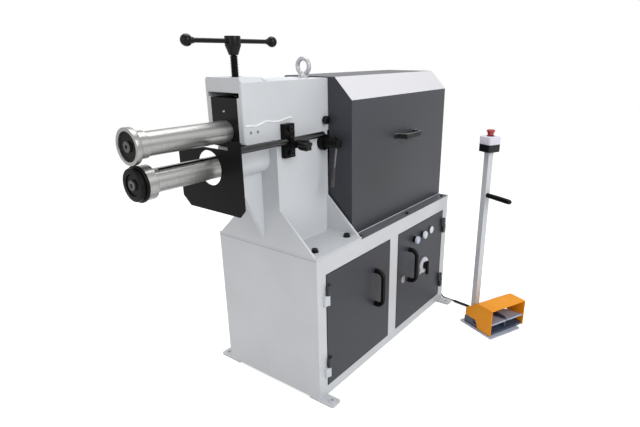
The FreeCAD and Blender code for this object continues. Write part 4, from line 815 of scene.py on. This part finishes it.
def inside_radius(height, radius):
    """A test: 1 where the point is nearer than the radius to the line along X at a height."""

    def test(tree, point):
        flat = add_node(tree, "VectorMath", {1: (0, 1, 1)}, operation="MULTIPLY")
        off = add_node(tree, "VectorMath", {1: (0, 0, height)}, operation="DISTANCE")
        under = add_node(tree, "Math", {1: radius}, operation="LESS_THAN")
        tree.links.new(point, flat.inputs[0])
        wire(tree, (flat, 0, off, 0), (off, "Value", under, 0))
        return under.outputs[0]

    return test


def upper_shaft():
    """A stepped shaft: the nose in the roller, the shaft and the gear's seat."""
    front = upper_high[0]
    profile = stepped([
        (nose_radius, nose_start, front), (shaft_radius, front, seat_x), (seat_radius, seat_x, upper_seat_end),
    ])
    shape = turned(profile, (0, 0, upper_z), (1, 0, 0), 120)
    piece("upper_work_shaft", shape, turned_steel, "upper_rotor", ["upper_shaft"])


def lower_shaft():
    """A stepped shaft whose radius is less, by the keyway's depth, over its width and length."""
    key_start, key_end = -1.185, -0.87
    key_depth = 0.006
    key_half_width = 0.007
    half_angle = math.asin(key_half_width / shaft_radius)
    lean = math.radians(-70)
    front = lower_high[0] + ring_width
    steps = stepped([
        (nose_radius, nose_start, front), (shaft_radius, front, seat_x), (seat_radius, seat_x, lower_seat_end),
        (tail_radius, lower_seat_end, tail_end),
    ])
    ends = np.array([key_start - 0.0002, key_start + 0.0002, key_end - 0.0002, key_end + 0.0002])
    profile = np.concatenate([steps[:6], np.stack([np.full(4, shaft_radius), ends], -1), steps[6:]])

    def keyway(angle, along):
        off = np.abs((angle - lean + np.pi) % (2 * np.pi) - np.pi)
        inside = (off < half_angle) & (along > key_start) & (along < key_end)
        return 1 - key_depth / shaft_radius * inside

    shaft = turned(profile, (0, 0, lower_z), (1, 0, 0), 360, keyway)
    spacer = turned(stepped([(ring_radius, front - ring_width, front)]), (0, 0, lower_z), (1, 0, 0), 120)
    # Everything nearer the axis than the shaft's surface, the keyway's floor and walls among it, is painted
    # near-black: painted shade in the slot, and oil.
    keyway_shade_and_oil = inside_radius(lower_z, shaft_radius - 0.0005)
    keyed_steel = bright_steel("keyed_steel", (190, 190, 190))
    with_region(keyed_steel, (38, 38, 37), (30, 30, 29), keyway_shade_and_oil)
    piece("lower_work_shaft", joined(shaft, spacer), keyed_steel, "lower_rotor", ["lower_shaft"], 30)
    pin_x = -0.355
    collar_radius = 0.062
    groove_radius = 0.05
    half_collar = 0.018
    half_groove = 0.0056
    collar = turned(
        stepped([
            (collar_radius, -half_collar, -half_groove), (groove_radius, -half_groove, half_groove),
            (collar_radius, half_groove, half_collar),
        ], 0.0006),
        (pin_x, 0, lower_z), (1, 0, 0), 96,
    )
    piece("shift_collar", collar, turned_steel, "lower_rotor")


upper_shaft()
lower_shaft()

# Rollers
# The upper roller is a bright steel disc on a collar, the lower one a blackened beading roll. Each
# is held by a black washer and a socket screw in its recess.

screw_grey = finish("screw_grey", (92, 92, 90), (66, 66, 65), 60, 900, (0.34, 0.5), metal=0.7, edge=(150, 150, 148))


def upper_disc():
    """A rim with a groove and a recess for the washer, on a collar with a groove."""
    profile = [
        (nose_radius, 0.0098), (0.053, 0.0098), (0.0535, 0.0092), (0.0535, 0.0008), (0.0543, 0), (0.0652, 0),
        (0.0662, 0.0005), (0.0665, 0.0015), (0.0665, 0.0072), (0.0661, 0.0076), (0.0665, 0.008), (0.0665, 0.0194),
        (0.066, 0.0205), (0.065, 0.021), (0.0512, 0.021), (0.05, 0.0222), (0.05, 0.041), (0.0496, 0.0414),
        (0.05, 0.0418), (0.05, 0.062), (0.049, 0.063), (nose_radius, 0.063),
    ]
    shape = turned(profile, (upper_low[0], 0, upper_z), (1, 0, 0), 144)
    piece("plain_roller", shape, turned_steel, "upper_rotor", ["upper_roller"], 30)


def lower_roll():
    """A hub with a recess for the washer, a neck, and the rounded bead."""
    profile = [
        (nose_radius, 0.0079), (0.0396, 0.0079), (0.04, 0.0074), (0.04, 0.0006), (0.0406, 0), (0.047, 0),
        (0.0474, 0.0005), (0.048, 0.0005), (0.0484, 0), (0.0575, 0), (0.06, 0.001), (0.061, 0.0032),
        (0.061, 0.011), (0.0602, 0.012), (0.0578, 0.0122), (0.057, 0.013), (0.057, 0.0152), (0.0578, 0.016),
        (0.064, 0.0162), (0.0668, 0.0174), (0.068, 0.0202), (0.068, 0.0248), (0.0668, 0.0276), (0.064, 0.0289),
        (nose_radius, 0.029),
    ]
    shape = turned(profile, (lower_low[0], 0, lower_z), (1, 0, 0), 144)
    piece("beading_roller", shape, black_oxide, "lower_rotor", ["lower_roller"], 30)


def end_screw(name, body, z, washer, seat):
    """A washer on the roller's recess and a socket screw on the washer."""
    thick = 0.004
    rim = 0.0006
    profile = [(0.019, 0), (washer - rim, 0), (washer, rim), (washer, thick)]
    disc = turned(profile, (seat - thick, 0, z), (1, 0, 0), 96)
    piece(name + "_washer", disc, black_oxide, body)
    screw = socket_screw(
        (seat - 0.012, 0, z), (1, 0, 0), head=0.0195, height=0.0082, socket=0.0085, depth=0.006, around=96,
    )
    piece(name + "_screw", screw, screw_grey, body)


upper_disc()
lower_roll()
end_screw("upper_end", "upper_rotor", upper_z, 0.052, roller_face + 0.01)
end_screw("lower_end", "lower_rotor", lower_z, 0.038, roller_face + 0.008)

# Pressure spindle
# A blackened trapezoidal screw, turned from bar. A tapered hub is pinned on its end, with a straight
# bar through it that has a ball on each end.


def screw_thread():
    """A cylinder whose radius follows a trapezoidal thread.

    The phase is the height over the pitch less the angle over a turn. The radius is full on the
    crest, at the root's in the groove, and runs straight between them.
    """
    low, high = box_corners("spindle")
    middle = (low[:2] + high[:2]) / 2
    crest = (high[0] - low[0]) / 2
    pitch = 0.006
    journal_length = 0.0195
    spigot_length = 0.0305
    start = low[2] + journal_length - 0.0005
    end = high[2] - spigot_length + 0.0003
    z = np.arange(start, end, pitch / 12)
    angle = 2 * np.pi * np.arange(36) / 36
    phase = (z[:, None] / pitch - angle[None] / (2 * np.pi)) % 1
    depth = 0.003 * np.clip((np.abs(phase - 0.5) - 0.13) / 0.12, 0, 1)
    edge = np.clip(np.minimum(z - start, end - z) / 0.002, 0, 1)[:, None]
    radius = (crest - depth) * (0.82 + 0.18 * edge)
    rings = np.stack([
        middle[0] + radius * np.cos(angle), middle[1] + radius * np.sin(angle), z[:, None] * np.ones(36),
    ], -1)
    journal = turned([(0.008, 0), (0.008, journal_length)], (*middle, low[2]), (0, 0, 1), 24)
    spigot = turned([(0.0099, 0), (0.0099, spigot_length)], (*middle, high[2] - spigot_length), (0, 0, 1), 24)
    shape = joined(skin(rings), journal, spigot)
    piece("pressure_screw", shape, black_oxide, "spindle", ["spindle"], 25)


def screw_handle():
    """The hub is turned from its profile, the bar from a straight one, and the balls from arcs."""
    low, high = box_corners("spindle_handle")
    middle = (low + high) / 2
    bar_z = low[2] + 0.054
    bar_radius = 0.009
    ball_radius = 0.0225
    reach = (high[0] - low[0]) / 2 - ball_radius
    hub = turned(
        eased([
            (0.0165, 0.0005), (0.0185, 0.0005), (0.03, 0.032), (0.032, 0.036), (0.032, 0.0735), (0.004, 0.0735),
        ], 0.003),
        (middle[0], middle[1], low[2]), (0, 0, 1), 64,
    )
    bar = turned([(bar_radius, -reach), (bar_radius, reach)], (middle[0], middle[1], bar_z), (1, 0, 0), 32)
    parts = [hub, bar]
    arc = np.linspace(0.47, np.pi - 0.05, 24)
    ball = np.stack([ball_radius * np.sin(arc), -ball_radius * np.cos(arc)], -1)
    neck = np.array([(0.0105, -0.03), (0.0118, -0.0285), (0.0118, -0.022)])
    for side in (-1, 1):
        place = (middle[0] + side * reach, middle[1], bar_z)
        parts.append(turned(np.concatenate([neck, ball]), place, (side, 0, 0), 40))
    handle_black = blackened("handle_black", (9, 9, 10), (15, 15, 16), (0.2, 0.28), 0.0001, 0.16)
    piece("screw_handle", joined(*parts), handle_black, "spindle", ["spindle_handle"], 40)


screw_thread()
screw_handle()

# Shaft shift and locks
# A black hub turns an eccentric pin that shifts the lower shaft. It has a thin steel lever with a
# black tapered grip, a pull plunger, and a round lock knob above it.

dress(black_oxide, "axial_hub")


def shift_lever():
    """Turned from a profile along a line that leans 10 degrees from the plumb line."""
    hub_x = -0.36
    hub_z = 1.215
    low, high = box_corners("axial_lever")
    lean = math.radians(10)
    axis = np.array([-math.sin(lean), 0, -math.cos(lean)])
    centre = np.array([hub_x, (low[1] + high[1]) / 2, hub_z])
    stem = turned([(0.004, 0.013), (0.0045, 0.014), (0.0045, 0.1125)], centre, axis, 24)
    grip = turned(
        eased([
            (0.0046, 0.112), (0.0052, 0.1125), (0.006, 0.132), (0.0088, 0.19), (0.0089, 0.203), (0.006, 0.2078),
            (0.001, 0.2078),
        ], 0.002),
        centre, axis, 32,
    )
    piece("shift_stem", stem, dull_steel, "axial_hub", ["axial_lever"])
    grip_grey = finish("grip_grey", (70, 68, 68), (52, 51, 51), 14, 900, (0.3, 0.42), shine=0.3)
    piece("shift_grip", grip, grip_grey, "axial_hub")


shift_lever()


def fluted(count, depth):
    """A factor on the radius: shallow rounded flutes round the rim."""
    return lambda angle, along: 1 - depth * (0.5 + 0.5 * np.cos(count * angle)) ** 3


def round_knob(name, node, axis, profile, ridges, ridge_depth):
    """A fluted knob, turned from a profile that starts at its node's outer end."""
    low, high = box_corners(node)
    place = (low + high) / 2
    along = np.abs(np.asarray(axis, float))
    place = place * (1 - along) + (low if sum(axis) > 0 else high) * along
    shape = turned(eased(profile, 0.002), place, axis, 144, fluted(ridges, ridge_depth))
    piece(name, shape, black_nylon, node, [node])


round_knob(
    "fluted_lock_knob", "lock_knob", (0, 1, 0),
    [(0.003, 0), (0.016, 0.0003), (0.02, 0.004), (0.02, 0.018), (0.017, 0.022), (0.011, 0.0222), (0.011, 0.0257),
     (0.0079, 0.0258), (0.0079, 0.048)],
    18, 0.06,
)
round_knob(
    "plunger_knob", "lock_plunger", (0, 0, -1),
    [(0.002, 0), (0.007, 0.0003), (0.009, 0.003), (0.009, 0.0105), (0.0065, 0.014), (0.0049, 0.0142),
     (0.0049, 0.029)],
    12, 0.05,
)

# Depth gauge
# A blackened stop plate on a ground rod, which a split block on the column clamps. The pinch
# screw has a lobed knob.

dress(black_oxide, "gauge_plate", "clamp_block")
rod_steel = along_x(
    finish("rod_steel", (74, 74, 75), (62, 62, 63), 20, 900, (0.14, 0.2), 0.00001, metal=1.0, gain=0.6), 0.3,
)
dress(rod_steel, "gauge_rod")


def lobed_knob():
    """A turned body whose radius swells into five lobes towards the front, on a steel neck."""
    low, high = box_corners("star_knob")
    place = ((low[0] + high[0]) / 2, low[1], (low[2] + high[2]) / 2)
    radius = (high[0] - low[0]) / 2
    neck_radius = 0.009
    screw_radius = 0.0039

    def lobes(angle, along):
        swell = np.clip(1 - (along - 0.044) / 0.01, 0, 1)
        return 1 - 0.3 * swell * (0.5 - 0.5 * np.cos(5 * (angle + np.pi / 2))) ** 1.4

    body = turned(
        eased([
            (0.003, 0.0012), (0.6 * radius, 0.0004), (0.93 * radius, 0.0016), (radius, 0.006),
            (0.97 * radius, 0.04), (0.8 * radius, 0.053), (0.012, 0.056),
        ], 0.003),
        place, (0, 1, 0), 160, lobes,
    )
    neck = turned(
        [(neck_radius, 0.055), (neck_radius, 0.0677), (screw_radius, 0.0677), (screw_radius, 0.098)],
        place, (0, 1, 0), 32,
    )
    piece("lobed_knob", body, black_nylon, "star_knob", ["star_knob"])
    piece("pinch_screw", neck, black_oxide, "star_knob")


lobed_knob()

# Hood
# Folded sheet in slate powder coat over the geared motor. The sloping panel at its front is white, and its
# flange is painted lighter as painted light from above. A strap handle of bent flat bar is bolted to its
# front, and a pale bead along the fold at its foot is a painted highlight of the bend.

sloping_panel = beyond((0, -0.71421, 0.69993), 1.16844)
# The flange at the hood's foot is painted lighter: painted light from above.
lit_flange = beyond((0, 0, -1), -0.7495)
strap_top_highlight = beyond((0, 0, 1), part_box("hood_handle")[1][2] - 0.001)
hood_coat = finish(
    "hood_coat", (52, 53, 57), (63, 65, 73), 1.3, 1100, (0.34, 0.48), 0.0003,
    edge=(110, 112, 118), gain=1.6, shine=0.28,
)
with_region(hood_coat, (204, 204, 208), (198, 198, 203), sloping_panel)
with_region(hood_coat, (104, 106, 111), (96, 98, 103), lit_flange)
dress(hood_coat, "hood")
dress(slate_coat, "motor_stand")
# The strap's top face and its edges are painted light as a painted highlight.
strap_black = finish(
    "strap_black", (13, 13, 14), (20, 20, 22), 14, 1200, (0.34, 0.48), 0.0002,
    edge=(120, 120, 122), gain=3.0, radius=0.002, shine=0.2,
)
with_region(strap_black, (176, 176, 179), (160, 160, 163), strap_top_highlight)
dress(strap_black, "hood_handle")
motor_enamel = finish("motor_enamel", (92, 112, 130), (80, 98, 116), 8, 600, (0.35, 0.5))
dress(motor_enamel, "gear_motor")


def fold_highlight_bead():
    """A thin pale bead of triangular section along the foot of the hood's front and back: a painted highlight where
    the fold catches the light.
    """
    low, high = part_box("hood")
    wall = abs(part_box("hood_handle")[1][1])
    flange_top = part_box("cabinet_shell")[1][2] + 0.002
    x = np.linspace(low[0] + 0.002, high[0] - 0.002, 200)
    section = 0.6 * np.array([
        (-0.0032, -0.0016), (0.0016, -0.0016), (0.0016, 0.0032), (0.0006, 0.0026), (-0.0026, -0.0006),
    ])
    beads = []
    for side in (-1, 1):
        path = np.stack([x, np.full(200, side * (wall + 0.001)), np.full(200, flange_top + 0.001)], -1)
        beads.append(carried(path, section * (side, 1), (0, 0, 1)))
    piece("fold_highlight_bead", joined(*beads), pale_plastic, "frame")


fold_highlight_bead()

# Pedestal
# A folded guard in orange enamel over two grey treadles, on a base plate. The post carries a
# stop box moulded in two halves, a red mushroom button and a hand grip.

pedestal_turn = math.radians(23.7)
pedestal_front = np.array([-math.sin(pedestal_turn), -math.cos(pedestal_turn), 0])
pedestal_side = np.array([math.cos(pedestal_turn), -math.sin(pedestal_turn), 0])
neck_top = 1.0885
box_seam = 1.132
box_top = 1.176
orange_enamel = finish(
    "orange_enamel", (242, 158, 16), (234, 144, 12), 5, 500, (0.34, 0.46),
    edge=(250, 186, 80), gain=1.5, shine=0.2,
)
treadle_grey = finish("treadle_grey", (178, 190, 214), (162, 174, 198), 18, 700, (0.4, 0.55), 0.0002)
housing_grey = finish(
    "housing_grey", (66, 72, 92), (58, 64, 82), 12, 900, (0.4, 0.55), 0.0002, edge=(110, 116, 134), gain=1.5,
)
stop_red = finish("stop_red", (172, 42, 45), (150, 31, 36), 22, 900, (0.22, 0.36))
box_halves = finish("box_halves", (218, 215, 228), (208, 205, 219), 12, 900, (0.3, 0.42), shine=0.3)
with_region(box_halves, (13, 15, 18), (20, 22, 25), beyond((0, 0, -1), -box_seam))
with_region(box_halves, (202, 205, 209), (195, 198, 202), beyond((0, 0, -1), -neck_top))
with_region(box_halves, (30, 14, 15), (40, 18, 20), beyond((0, 0, 1), box_top + 0.0002))
dress(light_enamel, "pedestal_post")
dress(panel_grey, "pedestal_base")
dress(orange_enamel, "pedal_guard")
dress(treadle_grey, "left_pedal", "right_pedal")
dress(housing_grey, "pedal_body")


def stop_housing():
    """A rounded square box on a short neck, with a low collar round the button's well.

    Ring i is a superellipse of width i and power i at height i, turned with the pedestal.
    """
    low, high = box_corners("stop_button")
    neck_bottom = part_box("pedestal_post")[1][2] - 0.001
    neck = 0.04
    width = 0.088
    groove = 0.0864
    square = 7
    steps = [
        (neck_bottom, neck, square), (neck_top, neck, square), (neck_top + 0.0005, 0.083, square),
        (neck_top + 0.002, width, square), (box_seam, width, square), (box_seam + 0.0004, groove, square),
        (box_seam + 0.0012, groove, square), (box_seam + 0.0016, width, square), (box_top - 0.0025, width, square),
        (box_top - 0.0005, 0.0855, square), (box_top, 0.08, square), (box_top, 0.044, 2),
        (box_top + 0.0028, 0.043, 2), (box_top + 0.0034, 0.042, 2), (box_top + 0.0034, 0.035, 2),
        (box_top + 0.003, 0.0345, 2), (box_top - 0.016, 0.034, 2),
    ]
    rings = []
    for height, across, power in steps:
        around = oval(across, across, power, 64)
        middle = (*((low + high)[:2] / 2), height)
        rings.append(middle + around[:, :1] * pedestal_side + around[:, 1:] * pedestal_front)
    piece("stop_housing", skin(rings), box_halves, "frame", ["stop_box"])


def mushroom_button():
    """A thin round cap on a tapered body, turned from one profile that starts at the top."""
    low, high = box_corners("stop_button")
    profile = eased([
        (0.0015, 0), (0.015, 0.0003), (0.0205, 0.0016), (0.0233, 0.0055), (0.0236, 0.01), (0.0225, 0.0128),
        (0.0188, 0.0134), (0.0185, 0.016), (0.0162, 0.031), (0.0149, 0.0315), (0.0149, 0.045),
    ], 0.001)
    place = (*((low + high)[:2] / 2), high[2])
    shape = turned(profile, place, (0, 0, -1), 64)
    piece("mushroom_button", shape, stop_red, "stop_button", ["stop_button"])


def post_grip():
    """A round bar out of the post's front with a collar at its root and a domed end."""
    root = np.array([0.5091, -0.6357, 0.835])
    profile = eased([
        (0.0118, -0.002), (0.0135, 0.001), (0.014, 0.006), (0.0134, 0.009), (0.0142, 0.03), (0.0148, 0.09),
        (0.0148, 0.155), (0.0138, 0.168), (0.009, 0.1765), (0.001, 0.1772),
    ], 0.002)
    shape = turned(profile, root, pedestal_front)
    piece("hand_grip", shape, black_nylon, "frame", ["post_grip"])


stop_housing()
mushroom_button()
post_grip()
